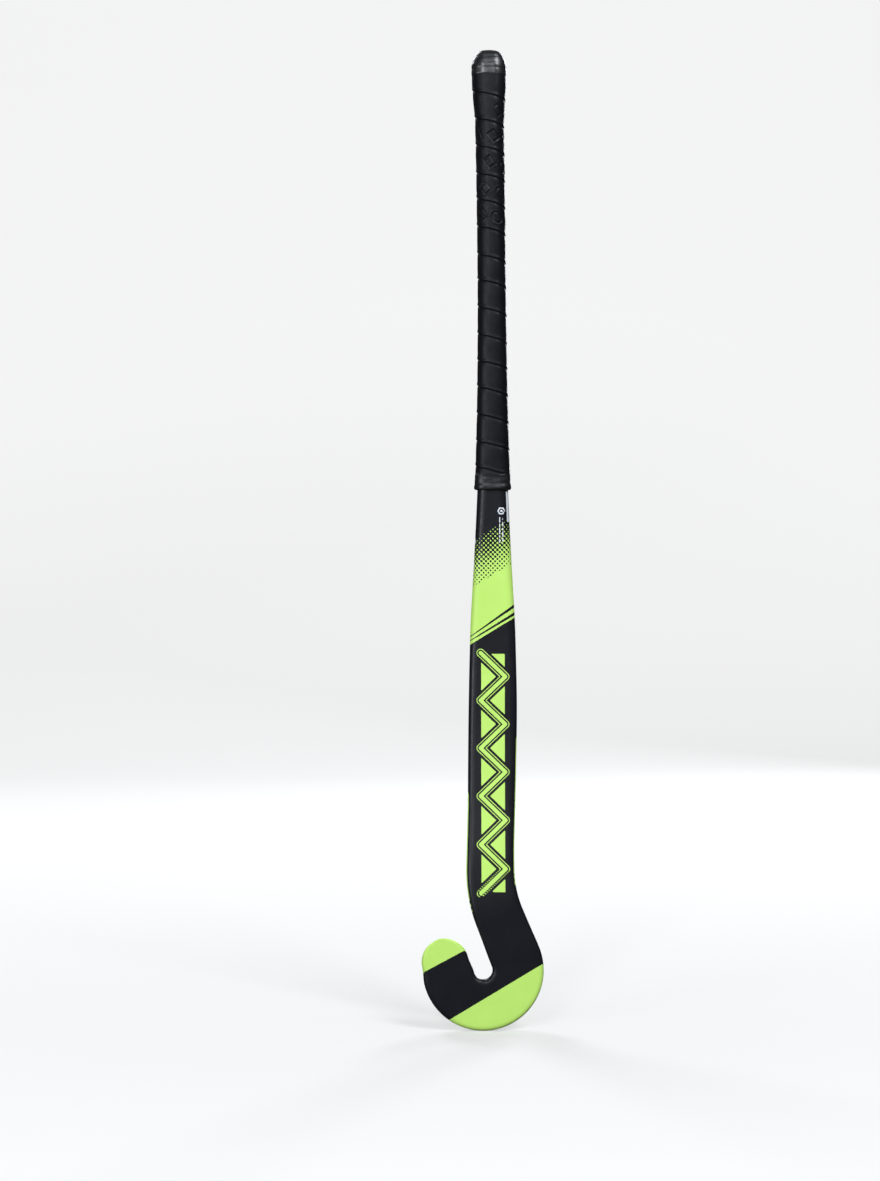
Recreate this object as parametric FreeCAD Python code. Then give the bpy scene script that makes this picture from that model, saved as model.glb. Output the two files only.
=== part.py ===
"""Field hockey stick: a hollow composite stick with its cores, grip, tapes and printed films.

Frame, in millimetres: +Z runs up the shaft, the flat playing face looks along -Y and the toe points along -X.
The origin is the sweet spot, on the playing face and under the shaft's axis.
"""

import FreeCAD, Part
import math
import os

from FreeCAD import Vector

# Driving dimensions -------------------------------------------------------------------------------
STICK_LENGTH = 927.0  # butt to lowest point of the head, a 36.5 inch stick
SWEET_SPOT_HEIGHT = 25.0  # origin above the lowest point of the head
BOTTOM_Z = -SWEET_SPOT_HEIGHT
TOP_Z = BOTTOM_Z + STICK_LENGTH

# The J head, seen square to the playing face. Its centre line is the spine.
CROOK_X = -8.3  # centre of the crook and of the spine's arc
CROOK_Z = 32.2
SPINE_RADIUS = 33.0
BLADE_HALF = 24.2
NECK_LEAN = math.radians(22.0)
NECK_BEND_RADIUS = 120.0
NECK_X = -1.4  # shaft axis where it meets the neck bend
TOE_ANGLE = math.radians(-165.9)  # where the arc stops, round the crook from the heel
TOE_RUN = 16.0  # from there the spine runs straight on while the blade narrows
TOE_HALF = 22.2
HEAD_DEPTH = 20.0
TOE_DEPTH = 17.0
HEAD_CORNER = 4.5
FACE_STOCK = 0.5  # the stick is lofted this much proud, and the head is then faced off flat

# Where the spine's straight and bent runs meet
ARC_START = (CROOK_X + SPINE_RADIUS * math.cos(NECK_LEAN), CROOK_Z + SPINE_RADIUS * math.sin(NECK_LEAN))
NECK_CORNER_RUN = (ARC_START[0] - NECK_X) / math.sin(NECK_LEAN)
NECK_TANGENT = NECK_BEND_RADIUS * math.tan(NECK_LEAN / 2)
BEND_TOP_Z = ARC_START[1] + NECK_CORNER_RUN * math.cos(NECK_LEAN) + NECK_TANGENT
TOE_START = (CROOK_X + SPINE_RADIUS * math.cos(TOE_ANGLE), CROOK_Z + SPINE_RADIUS * math.sin(TOE_ANGLE))

# Shaft stations: height and value. Values between stations are blended smoothly.
AXIS_SWAY = [(126, -1.4), (200, 0.2), (300, 1.4), (480, 1.3), (640, 0.6), (760, -0.7), (902, -2.8)]
HALF_WIDTH = [
    (45, 24.2), (75, 23.4), (126, 22.8), (155, 22.5), (265, 23.1), (345, 21.7), (420, 17.8), (480, 14.9),
    (515, 13.6), (590, 11.8), (700, 10.9), (832, 11.1), (856, 12.8), (872, 13.6), (902, 13.6),
]
DEPTH = [(126, 20.0), (270, 20.5), (420, 22.0), (590, 23.0), (832, 23.6), (872, 27.0), (902, 27.0)]
FACE_CORNER = [(126, 4.5), (300, 5.0), (480, 7.0), (640, 8.0), (902, 9.0)]
BOW = [
    (45, 0.0), (90, 0.6), (130, 4.5), (200, 15.5), (275, 22.0), (350, 24.0), (500, 21.0), (700, 12.0),
    (902, 2.4),
]

# Walls and layers
SKIN = 3.0
TUBE_WALL = 1.3
FIT = 0.05  # bond line between two pieces
UNDERLAY = 1.0
TAPE = 1.45
COLLAR_TAPE = 2.2
SKIRT = 1.1  # end cap skirt, under the top finishing tape
FILM = 0.3
PLY = 0.5
MIN_HALF = 3.0  # the narrowest section a loft may end on
ROOM = 150.0  # half side of the boxes that trim a piece
FACING_TOP = 300.0  # the playing face is cut flat up to here

# Heights along the shaft
LAMINATE_TOP = 893.0
CORE_SPLIT_Z = 155.0  # head foam below, core tubes above
TUBE_TOP = 868.0
TOP_TAPE = (878.5, 892.0)
GRIP_TOP = 878.0
GRIP_BOTTOM = 498.5
COLLAR = (486.0, 498.0)
TAPE_PITCH = 25.3
TAPE_GAP = 0.4
EDGE_PLY_SWEEP = 100.0  # degrees round the heel
EDGE_PLY_REACH = 50  # degrees up the rounded back

# Prints on the shaft: (high, low) heights at X = 0, and how much a border rises per unit of X
FADE_RISE = 0.6
STRIPE_RISE = 0.62
FACE_FADE = (449.0, 405.2)
BACK_FADE = (444.0, 399.2)
FACE_GREEN = (405.0, 361.5)
BACK_GREEN = (399.0, 110.0)
FACE_STRIPES = [(359.5, 356.5), (354.5, 352.0)]
BACK_STRIPES = [(108.0, 105.0), (103.0, 100.5)]
FILM_REACH = 0.9  # share of the half width that a shaft print covers
FACE_MOTIF = (331.0, 105.0, 11.8, 10)  # top, bottom, half width, number of legs
BACK_MOTIF = (347.0, 147.0, 10.8, 9)
MOTIF_STROKE = 3.6
MOTIF_LEG_SHARE = 0.84  # the legs stop short of each other at the turns
HEX_X, HEX_Z = 7.0, 466.0
LABEL_RING = (2.9, 1.4)  # radius and stroke of the label's ring
LABEL_COLUMN = (24.0, 1.4, 90)  # length, stroke and lean
LABEL_DROP = 19.0  # from the ring down to the middle of the columns
EDGE_LINE = (10.8, 452.0, 52.0, 1.0)  # X, Z, length, stroke
GRIP_MARK = (5.0, 522.0, 20.0, 12.0)  # X, Z, width, height

# Prints on the head
EMBLEM_X, EMBLEM_Z = 20.0, 28.0
EMBLEM_RING = (13.0, 2.4)  # radius and stroke
EMBLEM_STROKE = (14.0, 2.2, 30)  # length, stroke and lean
HEEL_CHORD = 38.0  # from the crook's centre to the straight border
HEEL_CHORD_ANGLE = -58.0  # of the normal to that border
HEEL_SPAN = (-95.0, -20.0)  # angles round the crook
FILM_MARGIN = 1.5  # between a print and the rim
TOE_BORDER_RUN = 8.1  # border of the toe's print, past the end of the crook
TOE_BORDER_SLOPE = -0.167
TOE_FILM_REACH = 0.86  # share of the half width that the toe's print covers
TOE_FILM_CROWN = 0.9  # roundness of its far border


# Profiles along the shaft -------------------------------------------------------------------------
def blend(table, height):
    """Monotone cubic through the stations of a table, constant past both ends."""
    if height <= table[0][0]:
        return table[0][1]
    if height >= table[-1][0]:
        return table[-1][1]
    i = max(k for k in range(len(table) - 1) if table[k][0] <= height)
    slopes = [(b[1] - a[1]) / (b[0] - a[0]) for a, b in zip(table, table[1:])]

    def knot_slope(k):
        if k == 0 or k == len(table) - 1 or slopes[k - 1] * slopes[k] <= 0:
            return 0.0
        return 2 * slopes[k - 1] * slopes[k] / (slopes[k - 1] + slopes[k])

    (z0, v0), (z1, v1) = table[i], table[i + 1]
    t = (height - z0) / (z1 - z0)
    span = z1 - z0
    return (
        v0 * (1 + 2 * t) * (1 - t) ** 2
        + v1 * t * t * (3 - 2 * t)
        + span * (knot_slope(i) * t * (1 - t) ** 2 - knot_slope(i + 1) * t * t * (1 - t))
    )


# Stations of the loft: where a cross-section stands and what it measures --------------------------
def station(x, z, lean, half_width, depth, corner, bow):
    """lean turns the section about Y. At 0 it is level and its across direction is +X, the heel side."""
    across = Vector(math.cos(lean), 0, math.sin(lean))
    at = Vector(x, bow - FACE_STOCK, z)
    return {"at": at, "across": across, "half": half_width, "depth": depth, "corner": corner}


def level_station(z):
    half, depth = blend(HALF_WIDTH, z), blend(DEPTH, z)
    return station(blend(AXIS_SWAY, z), z, 0.0, half, depth, blend(FACE_CORNER, z), blend(BOW, z))


def head_station(x, z, lean, half, bow=0.0, depth=HEAD_DEPTH, shrink=1.0):
    """A station of the head. Shrink below 1 rounds it off towards the tip of the toe."""
    return station(
        x, z, lean, half * shrink, depth * (0.45 + 0.55 * shrink), HEAD_CORNER * (0.4 + 0.6 * shrink), bow
    )


def neck_station(x, z, lean):
    return head_station(x, z, lean, blend(HALF_WIDTH, z), blend(BOW, z))


def arc_station(angle):
    """A station of the J's arc, which thins over its second half."""
    toe_share = max(0.0, (angle - NECK_LEAN) / (TOE_ANGLE - NECK_LEAN) * 2 - 1)
    x = CROOK_X + SPINE_RADIUS * math.cos(angle)
    z = CROOK_Z + SPINE_RADIUS * math.sin(angle)
    return head_station(x, z, angle, BLADE_HALF, depth=HEAD_DEPTH + (TOE_DEPTH - HEAD_DEPTH) * toe_share)


def toe_point(run, across):
    """The X and Z reached by going along the toe's straight spine and then across it, outwards."""
    x = TOE_START[0] + run * math.sin(TOE_ANGLE) + across * math.cos(TOE_ANGLE)
    z = TOE_START[1] - run * math.cos(TOE_ANGLE) + across * math.sin(TOE_ANGLE)
    return x, z


def toe_station(run):
    """A station of the toe: first the blade narrows smoothly, then its end is rounded off."""
    share = min(run / TOE_RUN, 1.0)
    half = BLADE_HALF + (TOE_HALF - BLADE_HALF) * share * share * (3 - 2 * share)
    past = max(0.0, run - TOE_RUN) / TOE_HALF
    x, z = toe_point(run, 0.0)
    return head_station(x, z, TOE_ANGLE, half, depth=TOE_DEPTH, shrink=math.sqrt(max(0.0, 1 - past * past)))


def shaft_stations():
    heights = list(range(150, 860, 35)) + [866, 872, 882, 892, TOP_Z]
    return [level_station(z) for z in reversed(heights)]


def head_stations():
    bend_steps = 4
    for k in range(bend_steps + 1):
        lean = NECK_LEAN * k / bend_steps
        x = NECK_X + NECK_BEND_RADIUS * (1 - math.cos(lean))
        yield neck_station(x, BEND_TOP_Z - NECK_BEND_RADIUS * math.sin(lean), lean)
    arc_steps = 12
    for k in range(arc_steps + 1):
        yield arc_station(NECK_LEAN + (TOE_ANGLE - NECK_LEAN) * k / arc_steps)
    for share in (0.35, 0.7, 1.0):
        yield toe_station(TOE_RUN * share)
    for share in (0.28, 0.52, 0.72, 0.86, 0.95, 0.99):
        yield toe_station(TOE_RUN + TOE_HALF * share)


SHAFT_STATIONS = shaft_stations()
STATIONS = SHAFT_STATIONS + list(head_stations())
GRIP_STATIONS = [st for st in SHAFT_STATIONS if st["at"].z > 440]
HEAD_STATIONS = STATIONS[len(SHAFT_STATIONS) - 2:]


def station_under(x, z):
    """The section through a point of the X-Z plane, and how far across that section the point is."""
    if z >= BEND_TOP_Z:
        st = level_station(z)
        return st, x - st["at"].x
    centre_x = NECK_X + NECK_BEND_RADIUS
    lean = math.atan2(BEND_TOP_Z - z, centre_x - x)
    if lean < NECK_LEAN:
        st_x = centre_x - NECK_BEND_RADIUS * math.cos(lean)
        st_z = BEND_TOP_Z - NECK_BEND_RADIUS * math.sin(lean)
        return neck_station(st_x, st_z, lean), NECK_BEND_RADIUS - math.hypot(centre_x - x, BEND_TOP_Z - z)
    over_x, over_z = x - ARC_START[0], z - ARC_START[1]
    above = over_z * math.cos(NECK_LEAN) - over_x * math.sin(NECK_LEAN)
    if above > 0 and x > CROOK_X:
        st_x = ARC_START[0] - above * math.sin(NECK_LEAN)
        st_z = ARC_START[1] + above * math.cos(NECK_LEAN)
        across = over_x * math.cos(NECK_LEAN) + over_z * math.sin(NECK_LEAN)
        return neck_station(st_x, st_z, NECK_LEAN), across
    angle = math.atan2(z - CROOK_Z, x - CROOK_X)
    if angle > NECK_LEAN:
        angle -= 2 * math.pi
    past_x, past_z = x - TOE_START[0], z - TOE_START[1]
    run = past_x * math.sin(TOE_ANGLE) - past_z * math.cos(TOE_ANGLE)
    if angle < TOE_ANGLE and run > 0:
        return toe_station(run), past_x * math.cos(TOE_ANGLE) + past_z * math.sin(TOE_ANGLE)
    return arc_station(angle), math.hypot(x - CROOK_X, z - CROOK_Z) - SPINE_RADIUS


# Cross-sections -----------------------------------------------------------------------------------
def place(st, across, deep):
    """A point of a station's plane: across towards the heel side, deep from the face towards the back."""
    return st["at"] + st["across"] * across + Vector(0, deep, 0)


def section(st, inset):
    """Flat face, two corner arcs and a half-elliptical back, all moved inwards by inset."""
    corner = max(st["corner"] - inset, 0.6)
    half = max(st["half"] - inset, corner + 0.4)
    low = inset
    centre_deep = low + corner
    crown = max(st["depth"] - inset - centre_deep, 1.0)
    flat_end = half - corner
    diagonal = corner * math.sqrt(0.5)
    face = Part.LineSegment(place(st, -flat_end, low), place(st, flat_end, low)).toShape()
    heel_corner = Part.Arc(
        place(st, flat_end, low), place(st, flat_end + diagonal, centre_deep - diagonal),
        place(st, half, centre_deep),
    ).toShape()
    turns = [math.pi * k / 8 for k in range(9)]
    crown_points = [
        place(st, half * math.cos(turn), centre_deep + crown * math.sin(turn)) for turn in turns
    ]
    back = Part.BSplineCurve()
    back.interpolate(
        Points=crown_points, Parameters=turns,
        InitialTangent=Vector(0, crown, 0), FinalTangent=Vector(0, -crown, 0),
    )
    toe_corner = Part.Arc(
        place(st, -half, centre_deep), place(st, -flat_end - diagonal, centre_deep - diagonal),
        place(st, -flat_end, low),
    ).toShape()
    return Part.Wire([face, heel_corner, back.toShape(), toe_corner])


def slab(low_x, high_x, low_y, high_y, low_z, high_z):
    return Part.makeBox(high_x - low_x, high_y - low_y, high_z - low_z, Vector(low_x, low_y, low_z))


def stick_solid(inset, stations=STATIONS):
    """The stick through these stations, every surface moved inwards by inset, the head's face cut flat."""
    roomy = [st for st in stations if st["half"] - inset > MIN_HALF]
    body = Part.makeLoft([section(st, inset) for st in roomy], True, False)
    facing = slab(-ROOM, ROOM, -ROOM / 8, inset, BOTTOM_Z - ROOM / 8, FACING_TOP)
    return body.cut(facing)


def grip_layer(outer, inner, low_z, high_z):
    """A sleeve over the grip part of the shaft, between two insets and two heights."""
    sleeve = stick_solid(outer, GRIP_STATIONS).cut(stick_solid(inner, GRIP_STATIONS))
    return between(sleeve, low_z, high_z)


def between(shape, low_z, high_z):
    """The part of a shape between two heights."""
    return shape.common(slab(-ROOM, ROOM, -ROOM, ROOM, low_z, high_z))


# Laminate and cores -------------------------------------------------------------------------------
def laminate_skin():
    shell = stick_solid(0.0).cut(stick_solid(SKIN))
    return between(shell, BOTTOM_Z - ROOM, LAMINATE_TOP)


def core_tube(side):
    """One of two chambers side by side in the shaft: side is -1 for the toe side, 1 for the heel side."""
    outside = stick_solid(SKIN + FIT, SHAFT_STATIONS)
    inside = stick_solid(SKIN + FIT + TUBE_WALL, SHAFT_STATIONS)

    def half_space(start, low_z, high_z):
        near, far = sorted((side * start, side * ROOM))
        return slab(near, far, -ROOM, ROOM, low_z, high_z)

    body = outside.common(half_space(FIT / 2, CORE_SPLIT_Z, TUBE_TOP))
    return body.cut(inside.common(half_space(FIT / 2 + TUBE_WALL, CORE_SPLIT_Z - 1, TUBE_TOP + 1)))


def head_foam_core():
    core = stick_solid(SKIN + PLY + 2 * FIT)
    return between(core, BOTTOM_Z, CORE_SPLIT_Z - FIT)


def face_strike_ply():
    """An extra ply inside the playing face: the head's flat inner wall, thickened."""
    lining = stick_solid(SKIN + FIT, HEAD_STATIONS)
    flats = [face for face in lining.Faces if face.BoundBox.YLength < 0.001]
    wall = max(flats, key=lambda face: face.Area)
    return wall.extrude(Vector(0, PLY, 0))


def heel_edge_ply():
    """A band inside the heel's outer edge, clear of the face ply: a slice turned about the crook."""
    def curve(inset):
        half = BLADE_HALF - inset
        crown = HEAD_DEPTH - inset - HEAD_CORNER
        start = CROOK_X + SPINE_RADIUS
        points = []
        for degrees in range(0, EDGE_PLY_REACH + 1, 10):
            turn = math.radians(degrees)
            points.append(Vector(
                start + half * math.cos(turn), HEAD_CORNER - FACE_STOCK + crown * math.sin(turn), CROOK_Z
            ))
        line = Part.BSplineCurve()
        line.interpolate(points)
        return line.toShape()

    outer, inner = curve(SKIN + FIT), curve(SKIN + FIT + PLY)
    ends = [
        Part.LineSegment(inner.Vertexes[k].Point, outer.Vertexes[k].Point).toShape() for k in (0, 1)
    ]
    face = Part.Face(Part.Wire([outer, ends[1], inner, ends[0]]))
    axis = Vector(0, 1, 0)
    centre = Vector(CROOK_X, 0, CROOK_Z)
    face.rotate(centre, axis, -math.degrees(NECK_LEAN))
    return face.revolve(centre, axis, EDGE_PLY_SWEEP)


# Butt and grip ------------------------------------------------------------------------------------
def butt_plug():
    return between(stick_solid(SKIN + FIT, GRIP_STATIONS), TUBE_TOP + 1, LAMINATE_TOP)


def end_cap():
    """Rubber dome over the butt with a thin skirt round the laminate."""
    profile = [(LAMINATE_TOP + FIT, -0.8), (895.5, 0.1), (898.0, 1.5), (900.3, 4.0), (TOP_Z, 7.8)]
    rings = [section(level_station(z), inset) for z, inset in profile]
    dome = Part.makeLoft(rings, True, False)
    skirt = grip_layer(-FIT - SKIRT, -FIT, GRIP_TOP + 1, LAMINATE_TOP + FIT)
    return dome.fuse(skirt)


def outline_point(height, angle, inset):
    """The point of the level section at this height, at this angle about its middle, 0 at the heel side."""
    half, depth = blend(HALF_WIDTH, height) - inset, blend(DEPTH, height)
    corner = blend(FACE_CORNER, height) - inset
    centre_deep = inset + corner
    crown = depth - inset - centre_deep
    middle = depth / 2

    def inside(r):
        across, deep = abs(r * math.cos(angle)), middle + r * math.sin(angle)
        if deep > centre_deep:
            return (across / half) ** 2 + ((deep - centre_deep) / crown) ** 2 < 1
        return deep > inset and math.hypot(max(across - half + corner, 0), deep - centre_deep) < corner

    low, high = 0.0, 50.0
    for _ in range(40):
        r = (low + high) / 2
        low, high = (r, high) if inside(r) else (low, r)
    bow = blend(BOW, height) - FACE_STOCK
    x = blend(AXIS_SWAY, height) + low * math.cos(angle)
    return Vector(x, bow + middle + low * math.sin(angle), height)


def grip_wrap():
    """One strip wound down the shaft, left-handed, its edges a small gap apart. The ends are cut level."""
    turns = math.ceil((GRIP_TOP - GRIP_BOTTOM) / TAPE_PITCH) + 1
    steps = 24

    def edge(inset, drop):
        points = []
        for k in range(turns * steps + 1):
            height = GRIP_TOP + TAPE_PITCH - drop - TAPE_PITCH * k / steps
            points.append(outline_point(height, 2 * math.pi * k / steps, inset))
        curve = Part.BSplineCurve()
        curve.interpolate(points)
        return curve.toShape()

    width = TAPE_PITCH - TAPE_GAP
    under = -UNDERLAY - FIT
    over = under - TAPE
    inner_top, inner_low = edge(under, 0), edge(under, width)
    outer_top, outer_low = edge(over, 0), edge(over, width)
    faces = [
        Part.makeRuledSurface(inner_top, inner_low), Part.makeRuledSurface(outer_top, outer_low),
        Part.makeRuledSurface(inner_top, outer_top), Part.makeRuledSurface(inner_low, outer_low),
    ]
    for last in (0, -1):
        ends = [c.Vertexes[last].Point for c in (inner_top, outer_top, outer_low, inner_low)]
        inner_cut = Part.LineSegment(ends[0], ends[3]).toShape()
        outer_cut = Part.LineSegment(ends[1], ends[2]).toShape()
        faces.append(Part.makeRuledSurface(inner_cut, outer_cut))
    shell = Part.makeShell(faces)
    shell.sewShape(0.001)
    ribbon = Part.makeSolid(shell)
    if ribbon.Volume < 0:
        ribbon.reverse()
    return between(ribbon, GRIP_BOTTOM, GRIP_TOP)


# Printed films ------------------------------------------------------------------------------------
def surface_point(x, z, side, inset):
    """The point of the flat face (side -1) or rounded back (side 1) above a point of the X-Z plane."""
    st, across = station_under(x, z)
    half = st["half"] - inset
    corner = st["corner"] - inset
    centre_deep = inset + corner
    if side > 0:
        crown = st["depth"] - inset - centre_deep
        deep = centre_deep + crown * math.sqrt(max(0.0, 1 - (across / half) ** 2))
    else:
        over = max(abs(across) - half + corner, 0.0)
        deep = centre_deep - math.sqrt(max(0.0, corner ** 2 - over ** 2))
        deep = max(deep, FACE_STOCK + inset if z < 60 else deep)
    return Vector(x, st["at"].y + deep, z)


def film(place_at, side, lift=0.0, across_steps=12, along_steps=8):
    """A thin solid that lies on the stick. place_at(s, t), both 0 to 1, gives its outline's X and Z."""
    def sheet(inset):
        grid = []
        for a in range(along_steps + 1):
            spots = [place_at(c / across_steps, a / along_steps) for c in range(across_steps + 1)]
            grid.append([surface_point(x, z, side, inset) for x, z in spots])
        surface = Part.BSplineSurface()
        surface.interpolate(grid)
        return surface.toShape()

    under, over = sheet(-FIT - lift), sheet(-FIT - FILM - lift)
    faces = [under, over]
    for low, high in zip(under.Edges, over.Edges):
        faces.append(Part.makeRuledSurface(low, high))
    shell = Part.makeShell(faces)
    shell.sewShape(0.001)
    solid = Part.makeSolid(shell)
    if solid.Volume < 0:
        solid.reverse()
    return solid


def band(side, high_z, low_z, rise, lift=0.0, along_steps=8):
    """A slanted band across the shaft, between two heights at X = 0."""
    def place_at(s, t):
        level = high_z + (low_z - high_z) * t
        st, across = station_under(0.0, level)
        reach = st["half"] * FILM_REACH
        x = reach * (2 * s - 1) - across
        return x, level + rise * x
    return film(place_at, side, lift, along_steps=along_steps)


def stripes(side, spans):
    return group(band(side, high, low, STRIPE_RISE, along_steps=3) for high, low in spans)


def bar(side, x, z, length, width, lean, lift=0.0):
    """A straight stroke centred on a point: lean is the angle of its long side from +X, in degrees."""
    c, s = math.cos(math.radians(lean)), math.sin(math.radians(lean))

    def place_at(u, v):
        along, over = (u - 0.5) * length, (v - 0.5) * width
        return x + along * c - over * s, z + along * s + over * c
    return film(place_at, side, lift, 8, 3)


def ring(side, x, z, radius, width):
    """A ring of two half turns."""
    def half_turn(start):
        def place_at(u, v):
            angle = math.pi * (start + u * 0.98)
            r = radius + width * (v - 0.5)
            return x + r * math.cos(angle), z + r * math.sin(angle)
        return film(place_at, side, 0.0, 16, 3)
    return [half_turn(0), half_turn(1)]


def zigzag(side, top, bottom, half_width, legs, lift):
    """The legs of a zigzag that fills a panel from top to bottom: the generic printed pattern."""
    step = (top - bottom) / legs
    length = math.hypot(2 * half_width, step) * MOTIF_LEG_SHARE
    slope = math.degrees(math.atan2(step, 2 * half_width))
    for k in range(legs):
        z = top - step * (k + 0.5)
        yield bar(side, blend(AXIS_SWAY, z), z, length, MOTIF_STROKE, slope * (-1) ** (k + 1), lift)


def head_patch(start, end, outer, inner_at):
    """A print on the head's back between two angles round the crook, from its rim in to inner_at(angle)."""
    def place_at(u, v):
        degrees = start + (end - start) * u
        angle = math.radians(degrees)
        r = outer + (inner_at(degrees) - outer) * v
        return CROOK_X + r * math.cos(angle), CROOK_Z + r * math.sin(angle)
    return film(place_at, 1, 0.0, 20, 5)


def heel_film():
    """Segment of the head below a straight chord, seen from the side."""
    rim = SPINE_RADIUS + BLADE_HALF

    def chord(degrees):
        return min(HEEL_CHORD / math.cos(math.radians(degrees - HEEL_CHORD_ANGLE)), rim - 2 * FILM_MARGIN)
    return head_patch(*HEEL_SPAN, rim - FILM_MARGIN, chord)


def toe_film():
    """The end of the toe past a straight border that crosses the blade at a slant."""
    reach = TOE_HALF * TOE_FILM_REACH

    def place_at(u, v):
        across = reach * (2 * u - 1)
        low = TOE_BORDER_RUN + TOE_BORDER_SLOPE * across
        high = TOE_RUN + TOE_FILM_CROWN * math.sqrt(TOE_HALF ** 2 - across ** 2) - 2.0
        return toe_point(low + (high - low) * v, across)
    return film(place_at, 1, 0.0, 20, 5)


def head_emblem():
    """A ring round three slanted strokes."""
    strokes = [bar(1, EMBLEM_X, EMBLEM_Z + dz, *EMBLEM_STROKE) for dz in (-5, 0, 5)]
    return ring(1, EMBLEM_X, EMBLEM_Z, *EMBLEM_RING) + strokes


def shaft_label():
    """A small ring over two thin upright columns."""
    columns = [bar(-1, HEX_X + dx, HEX_Z - LABEL_DROP, *LABEL_COLUMN) for dx in (-6.5, -1.5)]
    return ring(-1, HEX_X, HEX_Z, *LABEL_RING) + columns


def group(shapes):
    return Part.makeCompound(list(shapes))


PIECES = {
    "laminate_skin": laminate_skin,
    "toe_side_core_tube": lambda: core_tube(-1),
    "heel_side_core_tube": lambda: core_tube(1),
    "head_foam_core": head_foam_core,
    "face_strike_ply": face_strike_ply,
    "heel_edge_ply": heel_edge_ply,
    "butt_plug": butt_plug,
    "end_cap": end_cap,
    "cushion_underlay": lambda: grip_layer(-UNDERLAY, -FIT, COLLAR[0] + 0.5, GRIP_TOP),
    "grip_wrap": grip_wrap,
    "top_finishing_tape": lambda: grip_layer(-SKIRT - TAPE, -SKIRT - 2 * FIT, *TOP_TAPE),
    "lower_finishing_tape": lambda: grip_layer(-UNDERLAY - COLLAR_TAPE, -UNDERLAY - FIT, *COLLAR),
    "face_fade_film": lambda: band(-1, *FACE_FADE, FADE_RISE),
    "back_fade_film": lambda: band(1, *BACK_FADE, FADE_RISE),
    "face_green_film": lambda: band(-1, *FACE_GREEN, FADE_RISE),
    "back_green_film": lambda: band(1, *BACK_GREEN, STRIPE_RISE, along_steps=24),
    "face_stripes": lambda: stripes(-1, FACE_STRIPES),
    "back_stripes": lambda: stripes(1, BACK_STRIPES),
    "face_motif": lambda: group(zigzag(-1, *FACE_MOTIF, 0.0)),
    "back_motif": lambda: group(zigzag(1, *BACK_MOTIF, FILM + FIT)),
    "shaft_label": lambda: group(shaft_label()),
    "edge_line": lambda: bar(1, *EDGE_LINE, 90),
    "head_emblem": lambda: group(head_emblem()),
    "heel_film": heel_film,
    "toe_film": toe_film,
    "grip_mark": lambda: bar(1, *GRIP_MARK, 0, UNDERLAY + TAPE),
}


def save(name, shape):
    solids = shape.Solids
    result = solids[0] if len(solids) == 1 else Part.makeCompound(solids)
    result.exportStep(f"parts/{name}.step")
    state = "valid" if result.isValid() else "NOT VALID"
    print(name, len(solids), "solids", round(result.Volume), "mm3", state)


if __name__ == "__main__":
    os.makedirs("parts", exist_ok=True)
    for piece_name, make_piece in PIECES.items():
        save(piece_name, make_piece())
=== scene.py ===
"""Field hockey stick: the looks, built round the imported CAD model.

The shape law is in millimetres, in the CAD's own frame: +Z up the shaft, the flat playing face towards -Y and
the toe towards -X. Meshes are turned into metres as they are made.
"""

from math import atan, cos, hypot, pi, radians, sin, sqrt, tan

import bpy
import numpy as np
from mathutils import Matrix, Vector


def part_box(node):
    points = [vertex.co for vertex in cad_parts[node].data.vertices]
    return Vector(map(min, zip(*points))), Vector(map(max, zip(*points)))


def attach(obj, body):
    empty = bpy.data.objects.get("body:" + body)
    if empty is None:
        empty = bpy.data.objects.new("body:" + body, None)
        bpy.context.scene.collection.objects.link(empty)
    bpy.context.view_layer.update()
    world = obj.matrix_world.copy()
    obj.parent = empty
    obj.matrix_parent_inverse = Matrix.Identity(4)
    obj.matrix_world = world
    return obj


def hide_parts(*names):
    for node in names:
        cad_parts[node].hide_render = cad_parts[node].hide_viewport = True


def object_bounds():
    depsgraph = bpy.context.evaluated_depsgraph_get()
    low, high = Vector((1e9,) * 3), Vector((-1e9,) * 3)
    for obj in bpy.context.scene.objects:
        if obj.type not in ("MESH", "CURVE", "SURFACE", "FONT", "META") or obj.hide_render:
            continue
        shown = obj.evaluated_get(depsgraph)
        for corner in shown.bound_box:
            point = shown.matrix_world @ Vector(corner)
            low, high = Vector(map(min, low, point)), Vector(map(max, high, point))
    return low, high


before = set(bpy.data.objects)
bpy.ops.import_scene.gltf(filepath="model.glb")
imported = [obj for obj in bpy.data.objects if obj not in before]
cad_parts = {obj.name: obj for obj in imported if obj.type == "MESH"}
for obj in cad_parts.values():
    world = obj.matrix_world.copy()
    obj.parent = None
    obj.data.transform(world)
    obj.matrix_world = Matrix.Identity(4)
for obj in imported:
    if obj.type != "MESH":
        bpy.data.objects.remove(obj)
cad_low, cad_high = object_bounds()

MM = 0.001
BODY = "root"


def node_span(node):
    """Lowest and highest Z of a CAD node, in millimetres."""
    low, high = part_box(node)
    return low.z / MM, high.z / MM


# Driving dimensions, in millimetres ----
BOTTOM_Z = cad_low.z / MM
TOP_Z = cad_high.z / MM
GRIP_BOTTOM, GRIP_TOP = node_span("grip_wrap")
COLLAR_BOTTOM, COLLAR_TOP = node_span("lower_finishing_tape")
TAPE_BOTTOM, TAPE_TOP = node_span("top_finishing_tape")
LAMINATE_TOP = node_span("laminate_skin")[1]

CROOK_X, CROOK_Z = -8.3, 32.2  # centre of the crook and of the spine's arc
SPINE_RADIUS = 33.0
BLADE_HALF = 24.2
NECK_LEAN = radians(22.0)
NECK_BEND_RADIUS = 120.0
NECK_X = -1.4
TOE_ANGLE = radians(-165.9)  # here the arc ends and a straight run to the toe begins
TOE_RUN = 16.0
TOE_HALF = 22.2
HEAD_DEPTH = 20.0
TOE_DEPTH = 17.0
HEAD_CORNER = 4.5
FACE_STOCK = 0.5  # the head is faced off this much

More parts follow.
